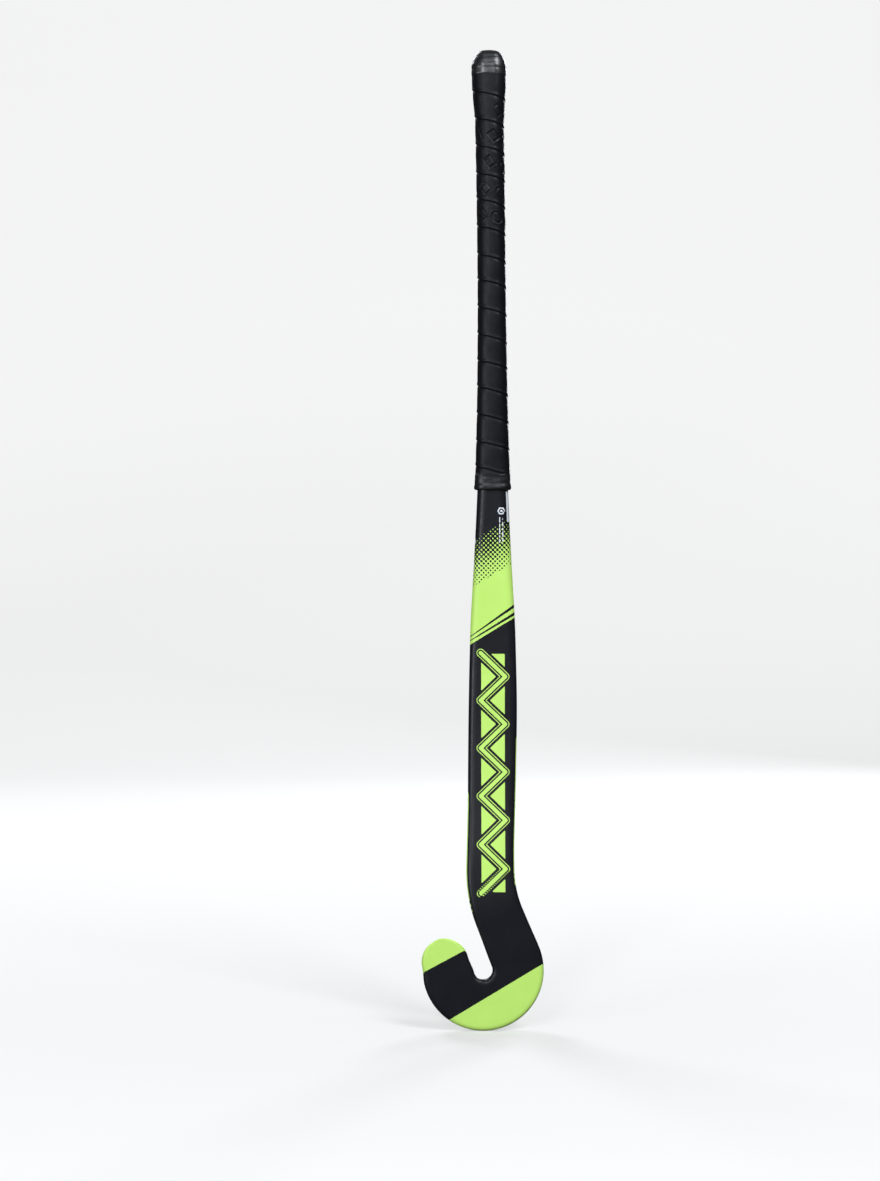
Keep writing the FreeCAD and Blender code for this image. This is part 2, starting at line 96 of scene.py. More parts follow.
ARC_START_X = CROOK_X + SPINE_RADIUS * cos(NECK_LEAN)
ARC_START_Z = CROOK_Z + SPINE_RADIUS * sin(NECK_LEAN)
NECK_CORNER_RUN = (ARC_START_X - NECK_X) / sin(NECK_LEAN)
NECK_TANGENT = NECK_BEND_RADIUS * tan(NECK_LEAN / 2)
NECK_RUN = NECK_CORNER_RUN - NECK_TANGENT
BEND_TOP_Z = ARC_START_Z + NECK_CORNER_RUN * cos(NECK_LEAN) + NECK_TANGENT

# Height and value down the shaft, blended smoothly between
SWAY = [(126, -1.4), (200, 0.2), (300, 1.4), (480, 1.3), (640, 0.6), (760, -0.7), (902, -2.8)]
HALF_WIDTH = [
    (45, 24.2), (75, 23.4), (126, 22.8), (155, 22.5), (265, 23.1), (345, 21.7), (420, 17.8), (480, 14.9),
    (515, 13.6), (590, 11.8), (700, 10.9), (832, 11.1), (856, 12.8), (872, 13.6), (902, 13.6),
]
DEPTH = [(126, 20.0), (270, 20.5), (420, 22.0), (590, 23.0), (832, 23.6), (872, 27.0), (902, 27.0)]
FACE_CORNER = [(126, 4.5), (300, 5.0), (480, 7.0), (640, 8.0), (902, 9.0)]
BOW = [
    (45, 0.0), (90, 0.6), (130, 4.5), (200, 15.5), (275, 22.0), (350, 24.0), (500, 21.0), (700, 12.0),
    (902, 2.4),
]

SKIN = 3.0  # wall of the laminate
COAT = 0.35  # thickness of the lacquer and print pieces
UNDERLAY = 1.0  # foam sleeve under the grip tape
TAPE = 1.45
SKIRT = 1.1  # the cap's skirt, under the upper band
TAPE_PITCH = 25.3
BOND = 0.05  # gap between pieces that are glued together

NORMAL_EASING = 14  # rounds of averaging that soften the shading at the face's corners


# Shape law ----
def blend(table, heights):
    """Monotone cubic through the stations of a table, constant past both ends."""
    z = np.array([row[0] for row in table], float)
    v = np.array([row[1] for row in table], float)
    h = np.clip(np.asarray(heights, float), z[0], z[-1])
    i = np.clip(np.searchsorted(z, h, side="right") - 1, 0, len(z) - 2)
    secant = np.diff(v) / np.diff(z)
    slope = np.zeros(len(z))
    product = secant[:-1] * secant[1:]
    rising = product > 0
    slope[1:-1][rising] = 2 * product[rising] / (secant[:-1] + secant[1:])[rising]
    span = z[i + 1] - z[i]
    t = (h - z[i]) / span
    return (
        v[i] * (1 + 2 * t) * (1 - t) ** 2
        + v[i + 1] * t * t * (3 - 2 * t)
        + span * (slope[i] * t * (1 - t) ** 2 - slope[i + 1] * t * t * (1 - t))
    )


def ease(low, high, value):
    t = np.clip((value - low) / (high - low), 0, 1)
    return t * t * (3 - 2 * t)


def level_rows(heights):
    """Level sections of the shaft: x, z, lean, half width, depth, corner and bow of each."""
    z = np.asarray(heights, float)
    half, depth, corner, bow = [blend(table, z) for table in (HALF_WIDTH, DEPTH, FACE_CORNER, BOW)]
    return np.stack([blend(SWAY, z), z, 0 * z, half, depth, corner, bow], axis=1)


TOE_DENSITY = 1.8  # sections round the toe's end, over an even share
TIP_WIDTH, TIP_DEPTH, TIP_CORNER = 0.012, 0.45, 0.4  # shares that are left at the tip


def toe_rows(step):
    """Sections of the straight run that narrows to the toe, then of its round end."""
    rows = []
    arc_end_x = CROOK_X + SPINE_RADIUS * cos(TOE_ANGLE)
    arc_end_z = CROOK_Z + SPINE_RADIUS * sin(TOE_ANGLE)
    along_x, along_z = sin(TOE_ANGLE), -cos(TOE_ANGLE)
    for share in np.linspace(0, 1, round(TOE_RUN / step) + 1)[1:]:
        run = TOE_RUN * share
        rows.append([
            arc_end_x + run * along_x, arc_end_z + run * along_z, TOE_ANGLE,
            BLADE_HALF + (TOE_HALF - BLADE_HALF) * float(ease(0, 1, share)),
            TOE_DEPTH, HEAD_CORNER, 0.0,
        ])
    for turn in np.linspace(0, pi / 2, round(TOE_HALF * TOE_DENSITY / step))[1:]:
        shrink = max(cos(turn), TIP_WIDTH)
        run = TOE_RUN + TOE_HALF * sin(turn)
        rows.append([
            arc_end_x + run * along_x, arc_end_z + run * along_z, TOE_ANGLE, TOE_HALF * shrink,
            TOE_DEPTH * (TIP_DEPTH + (1 - TIP_DEPTH) * shrink),
            HEAD_CORNER * (TIP_CORNER + (1 - TIP_CORNER) * shrink), 0.0,
        ])
    return rows


LEAST_SECTIONS = 4
BOW_END = 0.12  # the bow has died out after this share of the head's arc


def head_row(x, z, lean):
    return [x, z, lean, blend(HALF_WIDTH, z), HEAD_DEPTH, HEAD_CORNER, blend(BOW, z)]


def head_rows(step):
    """Sections from the top of the neck bend to the tip of the toe, about step apart along the spine."""
    rows = []
    count = max(LEAST_SECTIONS, round(NECK_BEND_RADIUS * NECK_LEAN / step))
    for lean in np.linspace(0, NECK_LEAN, count, endpoint=False)[1:]:
        x = NECK_X + NECK_BEND_RADIUS * (1 - cos(lean))
        rows.append(head_row(x, BEND_TOP_Z - NECK_BEND_RADIUS * sin(lean), lean))
    count = max(LEAST_SECTIONS, round(NECK_RUN / step))
    for run in np.linspace(NECK_RUN, 0, count, endpoint=False):
        x = ARC_START_X - run * sin(NECK_LEAN)
        rows.append(head_row(x, ARC_START_Z + run * cos(NECK_LEAN), NECK_LEAN))
    count = round(SPINE_RADIUS * (NECK_LEAN - TOE_ANGLE) / step)
    for k in range(count + 1):
        share = k / count
        angle = NECK_LEAN + (TOE_ANGLE - NECK_LEAN) * share
        x = CROOK_X + SPINE_RADIUS * cos(angle)
        z = CROOK_Z + SPINE_RADIUS * sin(angle)
        depth = HEAD_DEPTH + (TOE_DEPTH - HEAD_DEPTH) * max(0.0, share * 2 - 1)
        bow = float(blend(BOW, ARC_START_Z)) * (1 - float(ease(0, BOW_END, share)))
        rows.append([x, z, angle, BLADE_HALF, depth, HEAD_CORNER, bow])
    return np.array(rows + toe_rows(step))


LEAST_HALF, LEAST_CORNER, LEAST_CROWN = 0.05, 0.6, 0.5
CORNER_SHARE = 0.9  # most of the half width that a corner may take


def shares(count):
    """Even steps from 0 up to but not including 1, as one row."""
    return np.linspace(0, 1, count, endpoint=False)[None, :]


def section_grid(rows, inset, flat_cells, corner_cells, back_cells):
    """Points of every section, going round from the middle of the flat face by the heel side.

    Returns points (rows, columns, 3) and how deep each lies behind its section's widest line.
    """
    x, z, lean, half, depth, corner, bow = [rows[:, k:k + 1] for k in range(7)]
    half = np.maximum(half - inset, LEAST_HALF)
    corner = np.minimum(np.maximum(corner - inset, LEAST_CORNER), half * CORNER_SHARE)
    widest = inset + corner
    crown = np.maximum(depth - inset - widest, LEAST_CROWN)
    shave = np.clip(FACE_STOCK - bow, 0, None) + inset
    start = np.arccos(np.clip((widest - shave) / corner, -1, 1))
    flat_half = half - corner + corner * np.sin(start)
    flat = shares(flat_cells // 2)
    turn = start + (pi / 2 - start) * shares(corner_cells)
    over = np.linspace(0, pi / 2, back_cells // 2, endpoint=False)[None, :]
    across = np.concatenate([
        flat_half * flat, half - corner + corner * np.sin(turn), half * np.cos(over),
    ], axis=1)
    deep = np.concatenate([
        shave + 0 * flat, widest - corner * np.cos(turn), widest + crown * np.sin(over),
    ], axis=1)
    # The middle of the back, then the mirror image of the half so far
    across = np.concatenate([across, 0 * half, -across[:, :0:-1]], axis=1)
    deep = np.concatenate([deep, widest + crown, deep[:, :0:-1]], axis=1)
    points = np.stack([
        x + across * np.cos(lean), bow - FACE_STOCK + deep, z + across * np.sin(lean),
    ], axis=2)
    return points, deep - widest


def unit(vectors):
    return vectors / np.maximum(np.linalg.norm(vectors, axis=-1, keepdims=True), 1e-9)


def ring_normals(points):
    """Outward normals of a grid that closes round its columns."""
    along = np.gradient(points, axis=0)
    round_it = np.roll(points, -1, axis=1) - np.roll(points, 1, axis=1)
    normals = unit(np.cross(along, round_it))
    for _ in range(NORMAL_EASING):
        normals = unit(normals + 0.5 * (np.roll(normals, 1, axis=1) + np.roll(normals, -1, axis=1)))
    return normals


# Mesh making ----
def new_object(name, data):
    obj = bpy.data.objects.new(name, data)
    bpy.context.scene.collection.objects.link(obj)
    return obj


def make_object(name, points_mm, faces, normals=None):
    mesh = bpy.data.meshes.new(name)
    mesh.from_pydata((np.asarray(points_mm) * MM).tolist(), [], faces)
    mesh.validate()
    mesh.shade_smooth()
    if normals is not None:
        mesh.normals_split_custom_set_from_vertices(np.asarray(normals).tolist())
    return new_object(name, mesh)


def finish_piece(obj, material, slot, *nodes):
    """Gives a piece its material, hangs it under the body and hides the CAD nodes it stands for."""
    obj.data.materials.append(material)
    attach(obj, BODY)
    if nodes:
        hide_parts(*nodes)


def grid_quads(rows, columns, start=0, flip=False):
    """Quads of a grid that closes round its columns."""
    r, c = np.meshgrid(np.arange(rows - 1), np.arange(columns), indexing="ij")
    n = (c + 1) % columns
    corners = [
        r * columns + c, (r + 1) * columns + c, (r + 1) * columns + n, r * columns + n,
    ]
    quads = np.stack(corners, axis=2).reshape(-1, 4) + start
    return quads[:, ::-1] if flip else quads


def looped_quads(rows, columns):
    """Quads of a grid that also joins its last row to its first."""
    return grid_quads(rows + 1, columns) % (rows * columns)


def cap_faces(rows, columns):
    """One face on the first row of a grid and one on the last."""
    last = (rows - 1) * columns
    return [list(range(columns))[::-1], list(range(last, last + columns))]


class Soup:
    """Triangles and quads with named values at every point, that can be cut along a zero line."""

    def __init__(self, values, quads):
        self.values = values
        self.quads = quads
        self.triangles = np.zeros((0, 3), int)

    def cut(self, field):
        """Takes out the faces where field(values) is below zero, splitting those that it crosses."""
        f = field(self.values)
        inside_quads, mixed, self.quads = self._sort(self.quads, f)
        inside_triangles, mixed_triangles, self.triangles = self._sort(self.triangles, f)
        split = np.concatenate([mixed[:, [0, 1, 2]], mixed[:, [0, 2, 3]], mixed_triangles])
        below, above = self._split(split, f)
        self.triangles = np.concatenate([self.triangles, above])
        return inside_quads, np.concatenate([inside_triangles, below])

    @staticmethod
    def _sort(faces, f):
        """The faces that lie below zero, across it and above it."""
        low = (f[faces] < 0).sum(axis=1)
        corners = faces.shape[1]
        return faces[low == corners], faces[(low > 0) & (low < corners)], faces[low == 0]

    def _crossings(self, a, b, f):
        """New points on the edges a-b where f is zero. Edges shared by two faces share the point."""
        low, high = np.minimum(a, b), np.maximum(a, b)
        keys, back = np.unique(low * (len(f) + 1) + high, return_inverse=True)
        low, high = keys // (len(f) + 1), keys % (len(f) + 1)
        t = f[low] / (f[low] - f[high])
        first = len(self.values["x"])
        for name, value in self.values.items():
            weight = t if value.ndim == 1 else t[:, None]
            made = value[low] * (1 - weight) + value[high] * weight
            self.values[name] = np.concatenate([value, made])
        return first + back.reshape(-1)

    def _split(self, triangles, f):
        """Cuts triangles where f is zero. Each one that is crossed has one corner alone on its side."""
        below, crossed, above = self._sort(triangles, f)
        low = f[crossed] < 0
        lone_low = low.sum(axis=1) == 1
        lone = np.argmax(low == lone_low[:, None], axis=1)
        c, p, q = [crossed[np.arange(len(crossed)), (lone + k) % 3] for k in range(3)]
        made = self._crossings(np.concatenate([c, c]), np.concatenate([p, q]), f)
        cp, cq = made[:len(c)], made[len(c):]
        tips = np.stack([c, cp, cq], axis=1)
        rests = np.concatenate([np.stack([cp, p, q], axis=1), np.stack([cp, q, cq], axis=1)])
        rest_high = np.concatenate([lone_low, lone_low])
        return (
            np.concatenate([below, tips[lone_low], rests[~rest_high]]),
            np.concatenate([above, tips[~lone_low], rests[rest_high]]),
        )


def coat_object(name, soup, quads, triangles):
    """A closed thin piece: the faces, a copy of them one coat deeper, and walls between."""
    used = np.unique(np.concatenate([quads.ravel(), triangles.ravel()]))
    count = len(used)
    new_index = np.full(len(soup.values["x"]), -1)
    new_index[used] = np.arange(count)
    outer = new_index[quads].tolist() + new_index[triangles].tolist()
    inner = [[i + count for i in reversed(face)] for face in outer]
    edges = dict.fromkeys(edge for face in outer for edge in zip(face, face[1:] + face[:1]))
    walls = [[b, a, a + count, b + count] for a, b in edges if (b, a) not in edges]
    points, normals = soup.values["point"][used], unit(soup.values["normal"][used])
    all_points = np.concatenate([points, points - normals * COAT])
    all_normals = np.concatenate([normals, -normals])
    return make_object(name, all_points, outer + inner + walls, all_normals)


# Materials ----
def new_material(name):
    material = bpy.data.materials.new(name)
    material.use_nodes = True
    tree = material.node_tree
    return material, tree, tree.nodes["Principled BSDF"]


def adjust(node, **inputs):
    """Sets inputs by name, with _ for a space."""
    for key, value in inputs.items():
        node.inputs[key.replace("_", " ")].default_value = value


def add(tree, kind, **inputs):
    node = tree.nodes.new("ShaderNode" + kind)
    adjust(node, **inputs)
    return node


def coordinates(tree, scale=(1, 1, 1)):
    source = add(tree, "TexCoord")
    mapping = add(tree, "Mapping", Scale=scale)
    tree.links.new(source.outputs["Object"], mapping.inputs["Vector"])
    return mapping.outputs["Vector"]


def texture(tree, kind, vector, output, **inputs):
    node = add(tree, kind, **inputs)
    tree.links.new(vector, node.inputs["Vector"])
    return node.outputs[output]


def noise(tree, vector, scale, detail=4.0, roughness=0.5):
    return texture(tree, "TexNoise", vector, "Fac", Scale=scale, Detail=detail, Roughness=roughness)


def ramp(tree, factor, low, high, from_low=0.3, from_high=0.7):
    """Maps a factor to numbers between low and high."""
    node = add(tree, "MapRange", From_Min=from_low, From_Max=from_high, To_Min=low, To_Max=high)
    tree.links.new(factor, node.inputs["Value"])
    return node.outputs["Result"]


def mix_colour(tree, factor, low, high):
    node = add(tree, "Mix")
    node.data_type = "RGBA"
    adjust(node, A=(*low, 1), B=(*high, 1))
    tree.links.new(factor, node.inputs["Factor"])
    return node.outputs["Result"]


def math_node(tree, operation, first, second):
    node = add(tree, "Math")
    node.operation = operation
    tree.links.new(first, node.inputs[0])
    tree.links.new(second, node.inputs[1])
    return node.outputs[0]


def tint(tree, shader, factor, colours):
    """Base colour between two colours."""
    tree.links.new(mix_colour(tree, factor, *colours), shader.inputs["Base Color"])


def roughen(tree, shader, factor, low, high):
    tree.links.new(ramp(tree, factor, low, high), shader.inputs["Roughness"])


def bump(tree, shader, height, strength, distance):
    node = add(tree, "Bump", Strength=strength, Distance=distance)
    tree.links.new(height, node.inputs["Height"])
    tree.links.new(node.outputs["Normal"], shader.inputs["Normal"])


def lacquer(name, low, high, rough):
    """Satin paint: faint colour drift, slight orange peel and fine specks in the sheen."""
    material, tree, shader = new_material(name)
    where = coordinates(tree)
    tint(tree, shader, ramp(tree, noise(tree, where, 38.0), 0, 1), (low, high))
    roughen(tree, shader, noise(tree, where, 240.0, 6.0, 0.6), rough - 0.05, rough + 0.07)
    bump(tree, shader, noise(tree, where, 900.0, 2.0), 0.06, 0.0002)
    adjust(shader, Coat_Weight=0.04, Coat_Roughness=0.3, Specular_IOR_Level=0.22)
    return material


# Texture, its output, its scale, strength and depth of the relief, roughness
CLOTH = ("TexChecker", "Fac", 620.0, 0.25, 0.0002, 0.42)
FOAM = ("TexVoronoi", "Distance", 900.0, 0.5, 0.0003, 0.9)


def inner_material(name, pattern, low, high):
    """Cured cloth or foam: one pattern gives both the colour and the relief, with painted shade in its low
    parts.
    """
    kind, output, scale, strength, distance, rough = pattern
    material, tree, shader = new_material(name)
    cells = texture(tree, kind, coordinates(tree), output, Scale=scale)
    # Painted shade: the lower the relief, the darker the colour
    tint(tree, shader, cells, (low, high))
    bump(tree, shader, cells, strength, distance)
    adjust(shader, Roughness=rough)
    return material


GRIP_COLOURS = ((0.0035, 0.0036, 0.005), (0.0065, 0.0067, 0.0085))
# The vinyl's darker colour is painted shade for the tape's creases
VINYL_COLOURS = ((0.0035, 0.0036, 0.0048), (0.008, 0.0084, 0.0105))
RUBBER_COLOURS = ((0.008, 0.0083, 0.0095), (0.013, 0.0135, 0.015))


def grip_material():
    """Tacky cushioned polyurethane: fine leather-like grain, slightly polished high spots."""
    material, tree, shader = new_material("grip_polyurethane")
    where = coordinates(tree)
    grain = texture(tree, "TexVoronoi", where, "Distance", Scale=1900.0)
    soft = noise(tree, where, 420.0, 5.0, 0.6)
    tint(tree, shader, ramp(tree, noise(tree, where, 55.0, 3.0), 0, 1), GRIP_COLOURS)
    roughen(tree, shader, soft, 0.36, 0.50)
    bump(tree, shader, math_node(tree, "ADD", grain, soft), 0.18, 0.0002)
    adjust(shader, Specular_IOR_Level=0.19)
    return material


def tape_material(name, low_rough, high_rough, specular):
    """Stretched vinyl tape with fine creases, and painted shade that darkens its colour down in them."""
    material, tree, shader = new_material(name)
    creases = noise(tree, coordinates(tree, (1, 1, 2.5)), 160.0, 4.0, 0.55)
    roughen(tree, shader, creases, low_rough, high_rough)
    # Painted shade: the colour is darker where the creases' relief is low
    tint(tree, shader, creases, VINYL_COLOURS)
    bump(tree, shader, creases, 0.14, 0.0005)
    adjust(shader, Specular_IOR_Level=specular)
    return material


def rubber_material():
    material, tree, shader = new_material("cap_rubber")
    where = coordinates(tree)
    grain = noise(tree, where, 1300.0, 3.0)
    tint(tree, shader, ramp(tree, noise(tree, where, 90.0), 0, 1), RUBBER_COLOURS)
    roughen(tree, shader, grain, 0.34, 0.44)
    bump(tree, shader, grain, 0.12, 0.0002)
    adjust(shader, Specular_IOR_Level=0.8)
    return material


def ink_material(name, low, high, rough=0.45):
    material, tree, shader = new_material(name)
    tint(tree, shader, ramp(tree, noise(tree, coordinates(tree), 700.0), 0, 1), (low, high))
    adjust(shader, Roughness=rough)
    return material


BLACK = lacquer("black_lacquer", (0.0072, 0.0076, 0.0108), (0.0098, 0.0102, 0.0142), 0.36)
GREEN = lacquer("green_lacquer", (0.53, 0.835, 0.165), (0.56, 0.87, 0.182), 0.40)
DARK_GREEN = ink_material("dark_green_ink", (0.10, 0.30, 0.07), (0.13, 0.36, 0.09))
WHITE_INK = ink_material("white_ink", (0.70, 0.74, 0.80), (0.78, 0.81, 0.86))
GREY_INK = ink_material("grey_ink", (0.20, 0.205, 0.22), (0.27, 0.275, 0.29))
CARBON = inner_material("cured_laminate", CLOTH, (0.012, 0.012, 0.013), (0.035, 0.035, 0.038))
ARAMID = inner_material("aramid_cloth", CLOTH, (0.50, 0.38, 0.10), (0.68, 0.55, 0.20))
CORE_FOAM = inner_material("core_foam", FOAM, (0.62, 0.52, 0.32), (0.80, 0.70, 0.48))
SOFT_FOAM = inner_material("underlay_foam", FOAM, (0.05, 0.05, 0.055), (0.09, 0.09, 0.10))
GRIP = grip_material()
GLOSS = tape_material("gloss_vinyl_tape", 0.33, 0.40, 1.0)
SATIN = tape_material("satin_vinyl_tape", 0.36, 0.50, 0.5)
RUBBER = rubber_material()
PLASTIC = ink_material("plug_plastic", (0.03, 0.03, 0.032), (0.05, 0.05, 0.053), 0.5)


# Prints: fields over the stick's surface, below zero inside
FADE_PITCH = 3.08  # nearest distance between dots of the fade
FADE_RISE = 0.6
FADE_TOP = 449.0
FADE_BOTTOM = 404.5
FADE_LEVELS = (1.35, -1.0)  # where the net's waves are cut, at the top and bottom


def on_face(v):
    return v["deep"]


def on_back(v):
    return -v["deep"]


def above(v, x0, z0, x1, z1):
    """Signed height over the line through two points, scaled to distance."""
    slope = (z1 - z0) / (x1 - x0)
    return (v["z"] - z0 - slope * (v["x"] - x0)) / hypot(1, slope)


def segment(v, x0, z0, x1, z1):
    """Distance to a straight stroke."""
    dx, dz = x1 - x0, z1 - z0
    t = np.clip(((v["x"] - x0) * dx + (v["z"] - z0) * dz) / (dx * dx + dz * dz), 0, 1)
    return np.hypot(v["x"] - x0 - t * dx, v["z"] - z0 - t * dz)


def both(*fields):
    return np.maximum.reduce(fields)


def either(*fields):
    return np.minimum.reduce(fields)


def nearest(v, strokes):
    """Distance to the nearest of some straight strokes."""
    return either(*[segment(v, *ends) for ends in strokes])


def fade_height(v):
    return v["z"] - FADE_RISE * v["x"]


def fade(v):
    """A halftone net at 45 degrees: green dots that grow and meet, then black dots that shrink."""
    share = (FADE_TOP - fade_height(v)) / (FADE_TOP - FADE_BOTTOM)
    a, b = (v["lateral"] + v["z"]) / sqrt(2), (v["lateral"] - v["z"]) / sqrt(2)
    turn = 2 * pi / FADE_PITCH
    level = FADE_LEVELS[0] + (FADE_LEVELS[1] - FADE_LEVELS[0]) * np.clip(share, 0, 1)
    dots = (level - np.cos(a * turn) - np.cos(b * turn)) / turn
    return np.where(share <= 0.0, 1.0, np.where(share >= 1.0, -1.0, dots))


def fade_band(v):
    return both(fade_height(v) - FADE_TOP, FADE_BOTTOM - fade_height(v), fade(v))


# Borders of the panels and middle lines of the stripes, each as x0, z0, x1, z1
FACE_PANEL = (-19.7, 339.1, 22.9, 365.2)
FACE_LINES = [(-19.7, 346.7, 22.3, 376.1), (-19.7, 342.9, 22.3, 368.5)]
BACK_PANEL = (21.8, 111.8, -21.8, 84.9)
BACK_LINES = [(21.8, 122.7, -23.7, 94.3), (21.8, 117.0, -22.7, 88.6)]
LINE_HALVES = (0.45, 1.35)  # half width of a stripe at its two ends

WRAP_BEHIND = 1.2  # the face's panel ends this far behind the widest line, higher up
WRAP_BEFORE = 2.6  # and this far in front of it, lower down
WRAP_SHIFT_TOE, WRAP_SHIFT_HEEL = (204, 196), (256, 248)  # heights between which it changes


def stripe(v, ends):
    """A straight stripe that widens from its first end to its last."""
    x0, _, x1, _ = ends
    share = np.clip((v["x"] - x0) / (x1 - x0), 0, 1)
    return np.abs(above(v, *ends)) - (LINE_HALVES[0] + (LINE_HALVES[1] - LINE_HALVES[0]) * share)


def green_shaft(v):
    """The green wrap: from the fade down, under the stripes, all round but for the face's panel."""
    toe_side, heel_side = ease(*WRAP_SHIFT_TOE, v["z"]), ease(*WRAP_SHIFT_HEEL, v["z"])
    lower_edge = np.where(v["x"] < 0, toe_side, heel_side)
    border = v["deep"] - WRAP_BEHIND + (WRAP_BEHIND + WRAP_BEFORE) * lower_edge
    face_lines = either(*[stripe(v, ends) for ends in FACE_LINES])
    back_lines = either(*[stripe(v, ends) for ends in BACK_LINES])
    face_area = both(border, -above(v, *FACE_PANEL), -face_lines)
    back_area = both(-border, -above(v, *BACK_PANEL), -back_lines)
    return both(either(face_area, back_area), fade_height(v) - FADE_BOTTOM)


FACE_MOTIF = (1.4, 331.0, 105.0, 11.8, 10)  # middle X, top, bottom, half width, number of legs
BACK_MOTIF = (0.0, 347.0, 147.0, 10.8, 9)
MOTIF_STROKE = 3.6
CONTOUR = 3.5
CONTOUR_WIDTH = 0.8
MOTIF_WEDGE = 6.2  # the wedges start this far from the zigzag's middle line
WEDGE_SIDE, WEDGE_END = 0.6, 1.0  # and end this far inside the motif's sides and ends


def zigzag(v, middle, top, bottom, half, legs):
    """Distance to a zigzag that runs down a panel."""
    step = (top - bottom) / legs
    sides = [half if k % 2 == 0 else -half for k in range(legs)]
    return nearest(v, [
        (middle - side, top - step * k, middle + side, top - step * (k + 1)) for k, side in enumerate(sides)
    ])


def motif(v, layout):
    """A bold zigzag with a thin contour on both sides of it, and a solid wedge in every notch."""
    middle, top, bottom, half, _ = layout
    line = zigzag(v, *layout)
    contour = np.abs(line - CONTOUR) - CONTOUR_WIDTH / 2
    wedges = both(
        MOTIF_WEDGE - line, np.abs(v["x"] - middle) - half + WEDGE_SIDE,
        v["z"] - top + WEDGE_END, bottom + WEDGE_END - v["z"],
    )
    return either(line - MOTIF_STROKE / 2, contour, wedges)


def face_motif(v):
    return both(on_face(v), motif(v, FACE_MOTIF))


def back_motif(v):
    return both(on_back(v), motif(v, BACK_MOTIF))


HEEL_FACE_CHORD = (-40.2, -14.1, 47.5, 38.5)
HEEL_BACK_CHORD = (-39.5, -14.0, 47.6, 29.3)
HEEL_SAG, HEEL_SAG_MIDDLE, HEEL_SAG_HALF = 5.5, 4, 44
HEEL_TOP = 60
TOE_FACE_CHORD = (-66.8, 29.5, -26.6, 50.9)
TOE_BACK_CHORD = (-65.2, 22.0, -26.3, 39.0)
TOE_INNER_X, TOE_LOW, TOE_HIGH = -18.5, 8, 70
RIM = (-4, 6)  # the face's border runs into the back's between these depths


def round_the_rim(v, front, back):
    share = ease(*RIM, v["deep"])
    return front * (1 - share) + back * share


def heel_print(v):
    """Below a straight chord on the face and below a sagging curve on the back."""
    sag = HEEL_SAG * (1 - np.clip(((v["x"] - HEEL_SAG_MIDDLE) / HEEL_SAG_HALF) ** 2, 0, 1))
    border = round_the_rim(v, above(v, *HEEL_FACE_CHORD), above(v, *HEEL_BACK_CHORD) + sag)
    return both(border, v["z"] - HEEL_TOP)


def toe_print(v):
    border = round_the_rim(v, -above(v, *TOE_FACE_CHORD), -above(v, *TOE_BACK_CHORD))
    return both(border, v["x"] - TOE_INNER_X, TOE_LOW - v["z"], v["z"] - TOE_HIGH)


HEEL_MARKS = 8
HEEL_MARK_HALF = 0.68
HEEL_MARKS_START, HEEL_MARKS_RUN = (33, 9.4), (-31, -17.4)
HEEL_MARK_RUN = (-1.4, -0.78)


def heel_marks(v):
    """A row of short dark dashes under the heel print's border, on the back."""
    strokes = []
    for share in np.linspace(0, 1, HEEL_MARKS):
        x, z = [start + run * share for start, run in zip(HEEL_MARKS_START, HEEL_MARKS_RUN)]
        strokes.append((x, z, x + HEEL_MARK_RUN[0], z + HEEL_MARK_RUN[1]))
    return both(on_back(v), nearest(v, strokes) - HEEL_MARK_HALF)


EMBLEM_X, EMBLEM_Z = 21.5, 30.5
EMBLEM_RADIUS, EMBLEM_RING_HALF = 13.6, 1.5
EMBLEM_BARS = ((-5.5, 4.2), (0, 6), (5.5, 4.2))  # height over the middle and half length across
EMBLEM_BAR_HALF = 1.3
TAIL_START = 9.6  # the tail starts this far left of the ring's middle and below it
TAIL_END = (-16, -3.5)
TAIL_HALF, TAIL_SWELL, TAIL_RUN = 0.75, 0.5, 28


def emblem(v):
    """A ring with three slanted bars in it, and a tail that thins out towards the toe."""
    band = np.abs(np.hypot(v["x"] - EMBLEM_X, v["z"] - EMBLEM_Z) - EMBLEM_RADIUS) - EMBLEM_RING_HALF
    bars = nearest(v, [
        (EMBLEM_X - half, EMBLEM_Z - half / 2 + rise, EMBLEM_X + half, EMBLEM_Z + half / 2 + rise)
        for rise, half in EMBLEM_BARS
    ])
    half_width = TAIL_HALF + TAIL_SWELL * np.clip((v["x"] - TAIL_END[0]) / TAIL_RUN, 0, 1)
    tail = segment(v, EMBLEM_X - TAIL_START, EMBLEM_Z - TAIL_START, *TAIL_END) - half_width
    return both(on_back(v) + 0.5, either(band, bars - EMBLEM_BAR_HALF, tail))


HEX_X, HEX_Z = 9.3, 466.0
HEX_OUTER, HEX_INNER, HEX_CORE = 3.3, 2.2, 1.0
FACE_DASHES = ((-1.5, (5, 3, 6, 2.5, 4), 1.0), (1.5, (3, 4.5, 2.5, 5, 3.5), 1.2))  # offset, lengths, gap


def hexagon(v, x, z, size):
    dx, dz = np.abs(v["x"] - x), np.abs(v["z"] - z)
    return both(dx * cos(pi / 6) + dz * 0.5, dz) - size


def rectangle(values, middle, half_width, z, middle_z, half_height):
    """A rectangle over any two of the surface's coordinates."""
    return both(np.abs(values - middle) - half_width, np.abs(z - middle_z) - half_height)


def dashes(v, x, top, lengths, gap, half):
    """A column of upright dashes of given lengths."""
    tops = [top - sum(lengths[:k]) - gap * k for k in range(len(lengths))]
    return either(*[
        rectangle(v["x"], x, half, v["z"], z - length / 2, length / 2) for z, length in zip(tops, lengths)
    ])


def face_label(v):
    """A hexagon with a dot in it, over two columns of dashes."""
    icon = both(hexagon(v, HEX_X, HEX_Z, HEX_OUTER), -hexagon(v, HEX_X, HEX_Z, HEX_INNER))
    core = hexagon(v, HEX_X, HEX_Z, HEX_CORE)
    text = [dashes(v, HEX_X + offset, HEX_Z - 6, lengths, gap, 0.5) for offset, lengths, gap in FACE_DASHES]
    return both(on_face(v), either(icon, core, *text))


def side_strip(v):
    """White strip on the heel side, seen from the face as a thin upright line."""
    return both(rectangle(v["deep"], -4.0, 1.2, v["z"], 470, 14.5), -v["x"])


